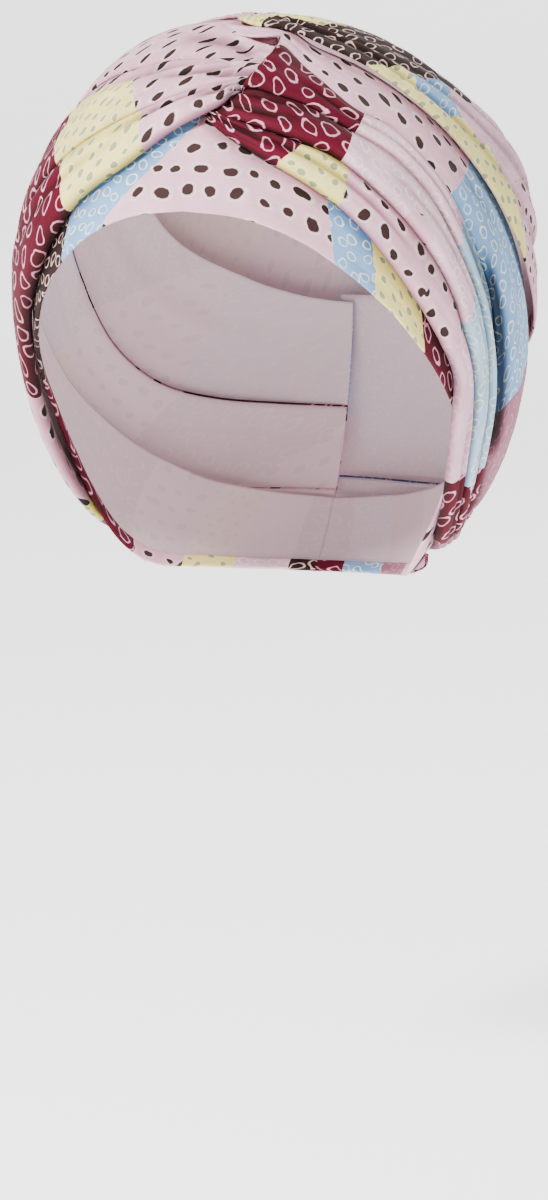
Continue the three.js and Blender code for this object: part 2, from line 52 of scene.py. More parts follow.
CROWN_WALL = 1.7
FOLD_HEIGHT = 6.0
CLOTH = 0.7
RIDE_LIFT = 2.5
BAG_SLOUCH = 12.0
BAG_RIPPLE = 0.9
BAG_RIPPLES = 9

# Fine relief in millimetres, with its reach as a share of the length or of one fold
GATHER_DEPTH = 0.8
GATHER_REACH = 0.07
GATHERS_PER_FOLD = 3.6
GATHER_START = 0.025
WRINKLE_DEPTH = 0.16
CROWN_WRINKLE_DEPTH = 0.2
CROWN_GATHER_DEPTH = 0.5
CROWN_GATHERS = 62
TUCK_UNDER = 2
NOSE_SHELTER = 0.75
NOSE_SHELTER_REACH = 0.09
DEEPEST_DENT = 0.35
DENT_PER_HEIGHT = 0.6
SEAM_DEPTH = 0.35
SEAM_PLACE = 0.14
SEAM_REACH = 0.012
BAND_RIPPLE = 0.1
ROLL_THICK = 4.25
STRIP_LIFT = 3.3
STRIP_RUCHE = 1.9
STRIP_RUCHES = 34

# Painted shadow line along the slit between the two blue folds: where it opens and closes along,
# and its place
SLIT_SHADE_LINE = (0.42, 0.7, 2.96)
SLIT_SHADE_REACH = 0.05
SLIT_SHADE_STRENGTH = 1.5

# Half of the band: turn and rise of its face edge and of its hidden upper edge, front to nape
BAND = np.array([
    (0, 0.37, 0, 0.755),
    (15, 0.345, 14, 0.7),
    (29, 0.265, 28, 0.6),
    (41, 0.14, 40, 0.49),
    (51, 0.01, 51, 0.34),
    (61, -0.11, 61, 0.17),
    (70, -0.22, 70, 0.03),
    (78, -0.33, 79, -0.1),
    (83, -0.47, 90, -0.24),
    (85, -0.61, 103, -0.37),
    (89, -0.73, 118, -0.49),
    (102, -0.8, 135, -0.58),
    (126, -0.825, 150, -0.62),
    (152, -0.84, 165, -0.64),
    (180, -0.845, 180, -0.65),
])

# Right drape: turn and rise of its lower edge, crease, soft dip, slit and hidden top, tip to nape
RIGHT = np.array([
    [(0, 0.69), (2.5, 0.705), (12.5, 0.77), (26, 0.905), (29, 0.955)],
    [(9, 0.62), (12, 0.665), (20, 0.755), (32, 0.88), (41, 0.945)],
    [(20, 0.54), (25, 0.61), (32, 0.715), (40, 0.81), (52, 0.905)],
    [(33, 0.435), (38, 0.54), (43, 0.635), (49, 0.7), (65, 0.84)],
    [(43, 0.315), (49, 0.41), (55, 0.54), (59, 0.63), (76, 0.74)],
    [(52, 0.15), (58, 0.265), (64, 0.4), (68, 0.49), (86, 0.615)],
    [(59, 0.01), (64.5, 0.12), (69, 0.235), (74, 0.31), (94, 0.47)],
    [(66, -0.1), (69.5, -0.03), (74.5, 0.06), (80, 0.085), (101, 0.33)],
    [(72, -0.2), (75, -0.16), (79.5, -0.1), (84.5, -0.09), (108, 0.2)],
    [(74, -0.33), (78, -0.29), (83, -0.25), (88, -0.24), (114, 0.1)],
    [(77, -0.46), (81, -0.43), (86, -0.4), (91, -0.38), (121, 0.02)],
    [(84, -0.6), (87, -0.56), (91, -0.53), (97, -0.49), (131, -0.04)],
    [(94, -0.69), (97, -0.655), (102, -0.62), (110, -0.57), (144, -0.08)],
    [(118, -0.735), (120, -0.7), (124, -0.66), (130, -0.61), (155, -0.1)],
    [(147, -0.75), (148, -0.71), (150, -0.67), (153, -0.615), (167, -0.11)],
    [(184, -0.76), (184, -0.715), (184, -0.67), (184, -0.61), (184, -0.11)],
])

# Heights of the right drape's folds, and of the floor under them
RIGHT_FOLDS = np.array([
    (0, 0, 0.35, 0.15, 0),
    (0.2, 0.4, 0.5, 0.2, 0.05),
    (0.35, 0.65, 0.5, 0.25, 0.1),
    (0.4, 0.75, 0.5, 0.35, 0.15),
    (0.4, 0.75, 0.5, 0.45, 0.2),
    (0.4, 0.75, 0.55, 0.55, 0.2),
    (0.4, 0.75, 0.6, 0.65, 0.25),
    (0.4, 0.75, 0.65, 0.8, 0.3),
    (0.4, 0.75, 0.7, 0.9, 0.3),
    (0.4, 0.7, 0.7, 0.95, 0.35),
    (0.35, 0.6, 0.65, 0.95, 0.35),
    (0.3, 0.5, 0.55, 0.85, 0.35),
    (0.25, 0.4, 0.4, 0.7, 0.35),
    (0.2, 0.3, 0.35, 0.6, 0.35),
    (0.2, 0.25, 0.3, 0.6, 0.35),
    (0.2, 0.25, 0.3, 0.6, 0.35),
])

# Left drape: turn and rise of its hem, crease, dip and hidden top, crossing to nape
LEFT = np.array([
    [(10.4, 0.77), (17, 0.805), (25, 0.86), (31, 0.945)],
    [(7.2, 0.715), (8, 0.79), (11, 0.87), (15, 0.968)],
    [(2.3, 0.68), (0, 0.765), (-3, 0.86), (2, 0.989)],
    [(-8, 0.62), (-11, 0.72), (-20, 0.85), (-52, 0.998)],
    [(-20, 0.51), (-25, 0.65), (-38, 0.82), (-105, 0.986)],
    [(-33, 0.39), (-38, 0.57), (-54, 0.78), (-112, 0.95)],
    [(-42, 0.25), (-50, 0.47), (-67, 0.72), (-112, 0.88)],
    [(-50, 0.1), (-60, 0.36), (-76, 0.63), (-112, 0.78)],
    [(-57, -0.01), (-67, 0.26), (-83, 0.51), (-113, 0.65)],
    [(-63, -0.11), (-73, 0.13), (-89, 0.38), (-116, 0.51)],
    [(-67, -0.22), (-79, -0.01), (-95, 0.23), (-120, 0.36)],
    [(-71, -0.36), (-84, -0.17), (-101, 0.08), (-125, 0.23)],
    [(-77, -0.5), (-90, -0.33), (-107, -0.07), (-132, 0.12)],
    [(-86, -0.63), (-98, -0.47), (-115, -0.22), (-141, 0.03)],
    [(-99, -0.695), (-111, -0.58), (-127, -0.33), (-151, -0.04)],
    [(-121, -0.735), (-129, -0.61), (-142, -0.38), (-161, -0.08)],
    [(-149, -0.75), (-152, -0.63), (-160, -0.4), (-170, -0.1)],
    [(-179.7, -0.76), (-179.7, -0.64), (-179.7, -0.41), (-179.7, -0.11)],
])

# Heights of the left drape's folds, and of the floor under them
LEFT_FOLDS = np.array([
    (0.05, 0, 0, 0),
    (0.35, 0.25, 0, 0.1),
    (0.4, 0.35, 0.2, 0.25),
    (0.42, 0.4, 0.35, 0.4),
    (0.45, 0.42, 0.45, 0.5),
    (0.5, 0.45, 0.5, 0.5),
    (0.6, 0.5, 0.5, 0.45),
    (0.65, 0.55, 0.5, 0.4),
    (0.7, 0.65, 0.5, 0.35),
    (0.7, 0.7, 0.5, 0.3),
    (0.65, 0.7, 0.5, 0.3),
    (0.6, 0.65, 0.55, 0.35),
    (0.5, 0.6, 0.6, 0.4),
    (0.4, 0.5, 0.6, 0.4),
    (0.35, 0.45, 0.5, 0.4),
    (0.3, 0.35, 0.4, 0.4),
    (0.25, 0.25, 0.3, 0.3),
    (0, 0, 0, 0),
])

# Crown rim: turn, rise and the height of the folds that it rests on
RIM = np.array([
    (0, 0.963, 0.45),
    (15, 0.942, 0.55),
    (32, 0.93, 0.6),
    (46, 0.885, 0.55),
    (60, 0.815, 0.55),
    (70, 0.71, 0.6),
    (80, 0.55, 0.7),
    (87, 0.38, 0.85),
    (93.5, 0.2, 1.05),
    (101, 0.02, 1.2),
    (115, -0.11, 1.25),
    (136, -0.21, 1.15),
    (158, -0.26, 1.2),
    (180, -0.28, 1.3),
    (202, -0.26, 1.15),
    (222, -0.19, 1.1),
    (236, -0.07, 1.1),
    (245, 0.1, 1),
    (251, 0.27, 0.9),
    (255, 0.44, 0.85),
    (258, 0.6, 0.8),
    (260, 0.75, 0.7),
    (261, 0.87, 0.55),
    (263, 0.945, 0.4),
    (272, 0.98, 0.25),
    (300, 0.993, 0.15),
    (335, 0.986, 0.25),
    (360, 0.963, 0.45),
])

# Slouch of the bag by rise, and by turn
BAG_BY_RISE = np.array([
    (-0.4, 0.7),
    (-0.12, 0.78),
    (0.02, 0.92),
    (0.2, 1),
    (0.34, 0.96),
    (0.5, 0.8),
    (0.65, 0.52),
    (0.8, 0.3),
    (0.93, 0.14),
    (1, 0.08),
])
BAG_BY_TURN = np.array([
    (0, 0.1),
    (40, 0.18),
    (62, 0.35),
    (85, 0.75),
    (105, 1),
    (180, 1.2),
])
POLE = (180.0, 0.93)

# Rolled edge behind the crossing: turn, rise, girth and height of the folds under it
ROLL = np.array([
    (-14, 0.955, 0.3, 0.55),
    (-5, 0.95, 0.65, 0.45),
    (3, 0.943, 0.85, 0.4),
    (11, 0.937, 0.9, 0.4),
    (19, 0.934, 0.9, 0.45),
    (27, 0.932, 0.75, 0.5),
    (34, 0.93, 0.4, 0.5),
])

# Gathered strip round the nape: turn, rise of its lower edge and of its upper edge
NAPE = np.array([
    (99, -0.785, -0.735),
    (126, -0.815, -0.76),
    (180, -0.835, -0.78),
    (234, -0.815, -0.76),
    (261, -0.785, -0.735),
])

# Profile of one fold, as (place, height, tuck). Places are counted in folds, heights in fold
# heights and the tuck in millimetres. The hem starts turned in, a fold deep under its own nose.
HEM_PROFILE = np.array([
    (0.24, 0.0, -1.75), (0.12, 0.0, -1.75), (0.03, 0.0, -1.6), (-0.012, 0.08, -1.1),
    (-0.018, 0.35, -0.5), (0.01, 0.62, -0.1), (0.07, 0.85, 0), (0.2, 1, 0), (0.4, 0.96, 0),
    (0.6, 0.83, 0), (0.8, 0.58, 0), (0.96, 0.26, -0.35), (1.1, 0.03, -0.95),
])
NOSE_PROFILE = np.array([
    (0.1, 0.03, -0.95), (0.05, 0.05, -0.95), (-0.01, 0.14, -0.7), (-0.055, 0.36, -0.25),
    (-0.05, 0.64, 0), (0.01, 0.88, 0), (0.1, 0.99, 0), (0.25, 1, 0), (0.42, 0.95, 0),
    (0.6, 0.83, 0), (0.8, 0.58, 0), (0.96, 0.26, -0.35), (1.1, 0.03, -0.95),
])

# Creases pressed into each drape: along from and to, place from and to, depth in mm, width in folds
RIGHT_CREASES = [
    (0.0, 0.15, 0.45, 0.5, 1.8, 0.11), (0.1, 0.36, 0.62, 0.5, 1.3, 0.1),
    (0.0, 0.18, 1.3, 1.35, 1.1, 0.12), (0.02, 0.22, 1.75, 1.6, 1.0, 0.1),
    (0.22, 0.62, 1.45, 1.5, 0.7, 0.09), (0.3, 0.8, 1.75, 1.7, 0.6, 0.08),
    (0.08, 0.5, 2.35, 2.4, 0.9, 0.1), (0.28, 0.85, 2.6, 2.5, 0.8, 0.09),
    (0.3, 0.7, 3.3, 3.25, 0.9, 0.08), (0.35, 0.9, 3.6, 3.5, 1.0, 0.1),
    (0.55, 0.98, 0.55, 0.5, 0.7, 0.12), (0.6, 0.98, 1.5, 1.45, 0.7, 0.12),
    (0.62, 0.98, 2.5, 2.45, 0.7, 0.12), (0.36, 0.8, 2.62, 2.62, 3.2, 0.28),
]
LEFT_CREASES = [
    (0.0, 0.16, 0.5, 0.42, 2.2, 0.13), (0.02, 0.28, 0.75, 0.62, 1.6, 0.09),
    (0.0, 0.14, 1.2, 1.3, 2.2, 0.13), (0.03, 0.22, 1.5, 1.45, 1.7, 0.1),
    (0.02, 0.3, 1.75, 1.6, 1.3, 0.08), (0.03, 0.2, 2.2, 2.3, 1.5, 0.12),
    (0.2, 0.6, 0.45, 0.5, 0.7, 0.08), (0.28, 0.7, 1.4, 1.45, 0.8, 0.08),
    (0.35, 0.85, 1.7, 1.75, 0.6, 0.07), (0.3, 0.75, 2.35, 2.4, 0.9, 0.09),
    (0.5, 0.97, 2.65, 2.6, 0.8, 0.08), (0.6, 0.97, 0.6, 0.55, 0.7, 0.1),
    (0.6, 0.97, 1.3, 1.35, 0.7, 0.1),
]
# Creases in the crown: round from and to, share to the pole from and to, depth in mm, width
CROWN_CREASES = [
    (0.03, 0.34, 0.1, 0.13, 1.1, 0.025), (0.08, 0.4, 0.23, 0.27, 1.0, 0.03),
    (0.0, 0.22, 0.33, 0.42, 0.8, 0.035), (0.16, 0.44, 0.42, 0.36, 0.9, 0.03),
    (0.3, 0.52, 0.14, 0.17, 1.2, 0.03), (0.5, 0.74, 0.15, 0.12, 1.0, 0.03),
    (0.55, 0.8, 0.34, 0.27, 0.9, 0.035), (0.7, 0.9, 0.18, 0.2, 0.8, 0.03),
]


def smooth(values, share):
    """Smooth curve through evenly spaced rows of values, at shares from 0 to 1."""
    values = np.asarray(values, float)
    last = len(values) - 1
    place = np.clip(np.asarray(share, float), 0, 1) * last
    index = np.minimum(place.astype(int), last - 1)
    step = place - index
    if values.ndim > 1:
        step = step.reshape(step.shape + (1,) * (values.ndim - 1))
    a, b, c, d = (values[np.clip(index + k, 0, last)] for k in (-1, 0, 1, 2))
    rise = a - 2.5 * b + 2 * c - 0.5 * d
    turn = -0.5 * a + 1.5 * b - 1.5 * c + 0.5 * d
    return b + step * (c - a) / 2 + step**2 * rise + step**3 * turn


def ease(value, low, high):
    """0 below low, 1 above high, and a smooth rise between them."""
    t = np.clip((value - low) / (high - low), 0, 1)
    return t * t * (3 - 2 * t)


def unit_of(turn, tilt):
    """Direction out of the middle, at a turn from the front and a tilt from level."""
    return np.stack(
        [np.cos(tilt) * np.sin(turn), -np.cos(tilt) * np.cos(turn), np.sin(tilt)], axis=-1
    )


def on_form(turn, tilt, lift):
    """Points over the inner form, at a lift along its own normal."""
    unit = unit_of(turn, tilt)
    height = np.where(tilt >= 0, INNER_RISE, INNER_DROP)
    width = np.full_like(height, INNER_HALF_WIDTH)
    length = np.full_like(height, INNER_HALF_LENGTH)
    size = np.stack([width, length, height], axis=-1)
    normal = unit / size
    normal /= np.linalg.norm(normal, axis=-1, keepdims=True)
    return unit * size + normal * lift[..., None]


# The lip that rises beside a crease: its height in depths, its place and spread in widths
LIP_HEIGHT = 0.55
LIP_PLACE = 1.7
LIP_SPREAD = 1.2


def pressed(along, place, creases):
    """Depth of the creases, each with a soft start and end."""
    depth_and_shade = np.zeros(np.broadcast(along, place).shape)
    for start, end, from_place, to_place, deep, wide in creases:
        share = (along - start) / (end - start)
        line = from_place + (to_place - from_place) * np.clip(share, 0, 1)
        line = line + 0.25 * wide * np.sin(9 * share + 40 * deep)
        fade = ease(share, 0.0, 0.25) * (1 - ease(share, 0.6, 1.0))
        if start == 0.0:
            fade = 1 - ease(share, 0.5, 1.0)
        away = (place - line) / wide
        valley = np.exp(-(away**2))
        lip = LIP_HEIGHT * np.exp(-((away - LIP_PLACE) ** 2) / LIP_SPREAD)
        depth_and_shade = depth_and_shade + deep * fade * (lip - valley)
    return depth_and_shade


def rumpled(along, place, start, strength):
    """Long soft wrinkles that run with the cloth."""
    total = np.zeros(np.broadcast(along, place).shape)
    for k in range(1, 6):
        phase = start * 1.7 + k * 2.3
        drift = 0.35 * np.sin(4.1 * along * (1 + 0.3 * k) + phase)
        wave = np.sin(2 * math.pi * ((0.9 + 0.75 * k) * place + drift) + phase * 3)
        swell = 0.5 + 0.5 * np.sin((5 + 2.6 * k) * along + 1.3 * k * place + phase)
        total = total + wave * swell / (1 + 0.45 * k)
    return strength * total


EXTRA_HEM_ROWS = 10


def profile_rows(folds, per_fold):
    """Place, height share and tuck for each row across a drape, and the fold each one is in."""
    rows = []
    for fold in range(folds):
        profile = HEM_PROFILE if fold == 0 else NOSE_PROFILE
        count = per_fold + (EXTRA_HEM_ROWS if fold == 0 else 0)
        shares = np.arange(count + (fold == folds - 1)) / count
        part = smooth(profile, shares)
        part[:, 0] += fold
        rows.append(np.column_stack([part, np.full(len(part), fold)]))
    return np.concatenate(rows)


def across_lines(lines, along, place, fold):
    """Turn and tilt of a drape at a share along it and a place in one of its folds."""
    angles = np.stack([np.radians(lines[..., 0]), np.arcsin(lines[..., 1])], axis=-1)
    at = smooth(angles, along[:, 0])
    low = np.clip(np.maximum(np.floor(place[0]).astype(int), fold), 0, lines.shape[1] - 2)
    share = place - low
    start = at[:, low, :]
    end = at[:, low + 1, :]
    point = start + (end - start) * share[..., None]
    return point[..., 0], point[..., 1]


def drape_points(lines, heights, ride, creases, steps, per_fold, start, slit_shade=None):
    """Grid of points for one drape, its rows, and its painted shade: darker low in each fold, in
    creases, in gathers and along the slit.
    """
    folds = lines.shape[1] - 1
    rows = profile_rows(folds, per_fold)
    along = np.linspace(0, 1, steps + 1)[:, None]
    place = rows[None, :, 0]
    fold = rows[:, 3].astype(int)
    tall = smooth(heights, along[:, 0])
    floor = tall[:, -1:] * ease(place, 0, 0.7) * (1 - ease(place, folds - 0.7, folds))
    height = FOLD_HEIGHT * (floor + tall[:, fold] * rows[None, :, 1])
    open_face = 1 + np.clip(rows[None, :, 2] / 1.2, -1, 0) * (place < 0.5)
    phase = 2 * math.pi * (GATHERS_PER_FOLD * place + 0.8 * along) + start
    gather = GATHER_DEPTH * np.exp(-along / GATHER_REACH) * np.sin(phase)
    gather = gather * ease(along, 0, GATHER_START)
    crease = pressed(along, place, creases)
    detail = rumpled(along, place, start, WRINKLE_DEPTH) + gather + crease
    detail = detail * open_face * ease(folds + 0.1 - place, 0, 0.3)
    from_nose = (place - np.round(place)) / NOSE_SHELTER_REACH
    under_nose = 1 - NOSE_SHELTER * np.exp(-(from_nose**2))
    detail = np.maximum(detail * under_nose, -DEEPEST_DENT - DENT_PER_HEIGHT * height)
    lift = DRAPE_FACE + height + rows[None, :, 2] + detail + ride(along, place)
    turn, tilt = across_lines(lines, along, place, fold)
    # Painted shade: the cloth's colour is darkened low in each fold, in pressed creases and in
    # gathers
    low_fold_shade = np.clip(1 - rows[None, :, 1] / 0.9, 0, 1) ** 1.2
    crease_shade = np.clip(-crease / 1.6, 0, 0.8)
    gather_shade = np.clip(-0.3 * gather, 0, 1)
    painted_shade = low_fold_shade * np.clip(tall[:, fold] / 0.35, 0, 1)
    painted_shade = np.clip(painted_shade + crease_shade + gather_shade, 0, 1)
    # Painted shadow: a dark line painted into the colour along the slit
    if slit_shade:
        opens, closes, middle = slit_shade
        slit_shade_along = ease(along, opens, opens + 0.05) * (1 - ease(along, closes - 0.05, closes))
        slit_shade_across = np.exp(-(((place - middle) / SLIT_SHADE_REACH) ** 2))
        painted_shade = np.maximum(painted_shade, SLIT_SHADE_STRENGTH * slit_shade_along * slit_shade_across)
    return on_form(turn, tilt, lift), rows, painted_shade


def right_ride(along, place):
    """The right drape rides over the left one above the notch, and laps over it at the nape."""
    above = ease(place, 1.8, 2.05) * (1 - ease(along, 0.03, 0.12))
    turned_under = 1 - ease(along, 0, 0.012)
    return RIDE_LIFT * (above * (1 - 1.4 * turned_under) + ease(along, 0.88, 0.94))


def left_ride(along, place):
    """The left drape's hem rides over the right drape's tip."""
    reach = 0.15 + 0.85 * ease(along, 0, 0.05)
    by_hem = 1 - ease(place, 0.35 * reach, 0.9 * reach)
    turned_under = 1 - ease(along, 0, 0.02)
    lifted = RIDE_LIFT * by_hem * ease(along, 0, 0.03) * (1 - ease(along, 0.12, 0.24))
    return lifted - TUCK_UNDER * turned_under


# Turned-in edge of the crown: share of the way to the pole, and tuck in millimetres
CROWN_EDGE = np.array([(0.03, -1.5), (0.012, -1.5), (-0.006, -1.1), (-0.009, -0.5), (0.0, -0.1)])
CROWN_EDGE_ROWS = 11
AFTER_EDGE = 0.004
CROWD_TO_RIM = 1.35
FRONT_REACH = 0.09


def crown_points(steps, rows):
    """Grid of points for the crown: a row for each step round its rim, out to the pole, and its
    painted shade.
    """
    round_share = np.linspace(0, 1, steps + 1)[:, None]
    edge = smooth(CROWN_EDGE, np.linspace(0, 1, CROWN_EDGE_ROWS))
    share = np.linspace(0, 1, rows) ** CROWD_TO_RIM
    to_pole = np.concatenate([edge[:, 0], AFTER_EDGE + (1 - AFTER_EDGE) * share])[None, :]
    tuck = np.concatenate([edge[:, 1], np.zeros(rows)])[None, :]
    at = smooth(RIM, round_share[:, 0])
    rim_tilt = np.arcsin(np.clip(at[:, 1], -1, 1))
    start = unit_of(np.radians(at[:, 0]), rim_tilt)[:, None, :]
    end = unit_of(np.radians(POLE[0]), np.arcsin(POLE[1]))[None, None, :]
    angle = np.arccos(np.clip((start * end).sum(-1), -1, 1))
    point = (
        np.sin((1 - to_pole) * angle)[..., None] * start + np.sin(to_pole * angle)[..., None] * end
    ) / np.sin(angle)[..., None]
    turn = np.arctan2(point[..., 0], -point[..., 1])
    tilt = np.arcsin(np.clip(point[..., 2], -1, 1))
    slouch = np.interp(np.sin(tilt), *BAG_BY_RISE.T)
    slouch = slouch * np.interp(np.degrees(np.abs(turn)), *BAG_BY_TURN.T)
    wave = np.cos(2 * math.pi * BAG_RIPPLES * round_share)
    wave = wave * np.sin(math.pi * np.clip(to_pole, 0, 1))
    free = DRAPE_FACE + (BAG_SLOUCH + BAG_RIPPLE * wave) * slouch
    on_folds = 1 - ease(to_pole, 0.04, 0.4)
    rest = OVER_DRAPE + FOLD_HEIGHT * at[:, 2:3]
    lift = free + (np.maximum(rest, free * (1 - on_folds)) - free) * on_folds + CROWN_WALL
    body = ease(to_pole, 0.0, 0.06) * (1 - 0.8 * ease(to_pole, 0.75, 1))
    front = np.exp(-(((round_share + 0.5) % 1 - 0.5) / FRONT_REACH) ** 2)
    gather = CROWN_GATHER_DEPTH * np.sin(2 * math.pi * CROWN_GATHERS * round_share)
    gather = gather * front * (1 - ease(to_pole, 0.1, 0.6))
    off_seam = ease(np.minimum(round_share, 1 - round_share), 0, 0.04)
    crease = pressed(round_share, to_pole, CROWN_CREASES) * off_seam
    wrinkles = rumpled(round_share * 2, to_pole * 5, 2.2, CROWN_WRINKLE_DEPTH)
    detail = wrinkles * off_seam + gather + crease
    # Painted shade: darker in the crown's creases and gathers and at its turned-in rim
    painted_shade = np.clip(np.clip(-crease / 1.4, 0, 0.8) - 0.5 * gather - 0.4 * tuck, 0, 1)
    return on_form(turn, tilt, lift + tuck + detail * body), turn, tilt, painted_shade


# The band from its turned-in face edge: share across it, and lift in millimetres
BAND_PROFILE = np.array([
    (0.13, -1.5), (0.04, -1.5), (0.0, -1.3), (-0.012, -0.8), (-0.01, -0.3), (0.008, -0.02),
    (0.05, 0.04), (0.15, 0), (0.32, 0), (0.5, 0), (0.66, 0), (0.82, 0), (1.0, 0),
])
BAND_ROWS = 61
OUTER_FACE = -0.02


def band_points(steps):
    """Grid of points for the band, from the nape round the front and back to the nape."""
    round_share = np.linspace(-1, 1, steps + 1)
    side = np.sign(round_share) + (round_share == 0)
    at = smooth(BAND, np.abs(round_share))
    rows = smooth(BAND_PROFILE, np.linspace(0, 1, BAND_ROWS))
    across = rows[None, :, 0]
    low = np.arcsin(at[:, 1:2])
    high = np.arcsin(at[:, 3:4])
    turn = at[:, 0:1] + (at[:, 2:3] - at[:, 0:1]) * across
    tilt = low + (high - low) * across
    seam = -SEAM_DEPTH * np.exp(-(((across - SEAM_PLACE) / SEAM_REACH) ** 2))
    ripple = BAND_RIPPLE * np.sin(60 * round_share[:, None]) * ease(across, 0.1, 0.3)
    lift = BAND_FACE + rows[None, :, 1] + (seam + ripple) * (rows[None, :, 1] > OUTER_FACE)
    return on_form(np.radians(side[:, None] * turn), tilt, lift), round_share, rows[:, 0]


ROLL_SUNK = 1.1
ROLL_RISE = 1.2


def roll_points(steps, sides):
    """Grid of points for the rolled edge, closed round its girth."""
    along = np.linspace(0, 1, steps + 1)[:, None]
    angle = 2 * math.pi * np.linspace(0, 1, sides + 1)[None, :]
    at = smooth(ROLL, along[:, 0])
    closed_end = np.sqrt(1 - (2 * along - 1) ** 12)
    girth = at[:, 2:3] * closed_end * (1 + 0.12 * np.cos(3 * angle + 6 * along))
    tilt = np.arcsin(at[:, 1:2]) + ROLL_THICK * girth * np.cos(angle) / INNER_HALF_LENGTH
    rise = ROLL_RISE * girth * (1 + np.sin(angle))
    lift = OVER_DRAPE - ROLL_SUNK + FOLD_HEIGHT * at[:, 3:4] + rise
    turn = np.radians(at[:, 0:1]) + 0 * angle
    return on_form(turn, tilt, lift)


def gather_points(steps, rows):
    """Grid of points for the ruched strip under the nape."""
    along = np.linspace(0, 1, steps + 1)[:, None]
    across = np.linspace(0, 1, rows + 1)[None, :]
    at = smooth(NAPE, along[:, 0])
    rise = at[:, 1:2] + (at[:, 2:3] - at[:, 1:2]) * across
    bulge = np.sin(math.pi * np.clip(across, 0.05, 0.95))
    uneven = 0.12 * np.sin(9 * along + 5 * across)
    ruche = 0.5 + 0.5 * np.sin(2 * math.pi * (STRIP_RUCHES * along + uneven))
    lift = STRIP_LIFT + STRIP_RUCHE * ruche * bulge
    return on_form(np.radians(at[:, 0:1]) + 0 * across, np.arcsin(rise), lift)


def beside(points, line, reach):
    """1 on a line and fading away from it, over a reach in millimetres."""
    away = np.full(points.shape[:2], np.inf)
    for spot in line:
        away = np.minimum(away, ((points - spot) ** 2).sum(-1))
    return np.exp(-away / reach**2)


def lengths(points, axis):
    """Distance walked over the cloth from its first row, along one axis of the grid."""
    steps = np.linalg.norm(np.diff(points, axis=axis), axis=-1)
    walked = np.cumsum(steps, axis=axis)
    start = np.zeros_like(np.take(walked, [0], axis=axis))
    return np.concatenate([start, walked], axis=axis)


def grain(points, start=0.5):
    """Print coordinates in millimetres, measured over the cloth itself from one of its columns."""
    along = lengths(points, 0)
    along = along - along[int(start * (len(points) - 1))][None, :]
    return np.stack([along, lengths(points, 1)], axis=-1)


CUT_MIDDLE_TURN = 115.0
CUT_MIDDLE_RISE = 0.8
CUT_REACH = 94
# Just over 1, so that nothing is divided by 0 opposite the middle of the cut
CUT_OPEN = 1.02


def crown_grain(turn, tilt):
    """Print coordinates on the crown, as if it were cut in one round."""
    middle = unit_of(np.radians(CUT_MIDDLE_TURN), np.arcsin(CUT_MIDDLE_RISE))
    right = np.cross((0, 0, 1), middle)
    right /= np.linalg.norm(right)
    up = np.cross(middle, right)
    unit = unit_of(turn, tilt)
    spread = CUT_REACH * np.sqrt(2 / (CUT_OPEN + unit @ middle))
    return np.stack([spread * (unit @ right), spread * (unit @ up)], axis=-1)


def cloth(
    name, node, points, prints, patches, materials,
    turned=False, painted_shades=None,
):
    """A sheet from a grid of points, with its print coordinates, painted shade, thickness and slot.
    """
    columns, rows = points.shape[:2]
    bm = bmesh.new()
    bmesh.ops.create_grid(bm, x_segments=columns - 1, y_segments=rows - 1, size=1)
    place = np.array([v.co[:2] for v in bm.verts])
    across = np.rint((place[:, 0] + 1) / 2 * (columns - 1)).astype(int)
    up = np.rint((place[:, 1] + 1) / 2 * (rows - 1)).astype(int)
    where = points[across, up] * MM
    printed = prints[across, up]
    patched = patches[across, up]
    painted_shade = (np.zeros(points.shape[:2]) if painted_shades is None else painted_shades)[across, up]
    for vertex, co in zip(bm.verts, where.tolist()):
        vertex.co = co
    print_layer = bm.loops.layers.uv.new("print")
    patch_layer = bm.loops.layers.uv.new("patch")
    # The painted shade goes into the cloth in a map of its own
    painted_shade_layer = bm.loops.layers.uv.new("painted_shade")
    for face in bm.faces:
        face.smooth = True
        for loop in face.loops:
            loop[print_layer].uv = printed[loop.vert.index]
            loop[patch_layer].uv = patched[loop.vert.index]
            loop[painted_shade_layer].uv = (painted_shade[loop.vert.index], 0)
    if turned:
        bmesh.ops.reverse_faces(bm, faces=bm.faces[:])
    bmesh.ops.remove_doubles(bm, verts=bm.verts[:], dist=0.00002)
    mesh = bpy.data.meshes.new(name)
    bm.to_mesh(mesh)
    bm.free()
    piece = bpy.data.objects.new(name, mesh)
    bpy.context.scene.collection.objects.link(piece)
    for material in materials:
        mesh.materials.append(material)
    thick = piece.modifiers.new("cloth thickness", "SOLIDIFY")
    thick.thickness = CLOTH * MM
    thick.offset = -1
    thick.material_offset = len(materials) - 1
    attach(piece, "root")
    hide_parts(node)
    return piece


def dye(red, green, blue):
    """A colour as seen, from 0 to 255, turned into the light it gives back."""
    light = [
        ((c / 255 + 0.055) / 1.055) ** 2.4 if c > 10 else c / 3294.6 for c in (red, green, blue)
    ]
    return (*light, 1.0)


# Tie-dye cloths: ground, mark, then share of rings, size of one mark's cell in mm
CLOTHS = {
    "pink dots": (dye(222, 172, 188), dye(54, 32, 31), 0.0, 8.9),
    "dense dots": (dye(212, 160, 178), dye(56, 32, 30), 0.0, 6.0),
    "burgundy": (dye(84, 2, 28), dye(222, 160, 178), 1.0, 8.4),
    "brown": (dye(42, 22, 20), dye(222, 190, 178), 1.0, 6.4),
    "blue": (dye(124, 164, 206), dye(230, 230, 216), 1.0, 5.8),
    "yellow": (dye(238, 222, 136), dye(158, 164, 114), 0.0, 5.8),
    "pale pink": (dye(228, 188, 202), dye(242, 222, 222), 1.0, 5.8),
    "pale blue": (dye(164, 192, 214), dye(232, 234, 206), 1.0, 5.6),
    "plain pink": (dye(220, 176, 192), dye(232, 196, 206), 1.0, 6.5),
    "mauve": (dye(150, 98, 114), dye(182, 136, 150), 1.0, 6.2),
}

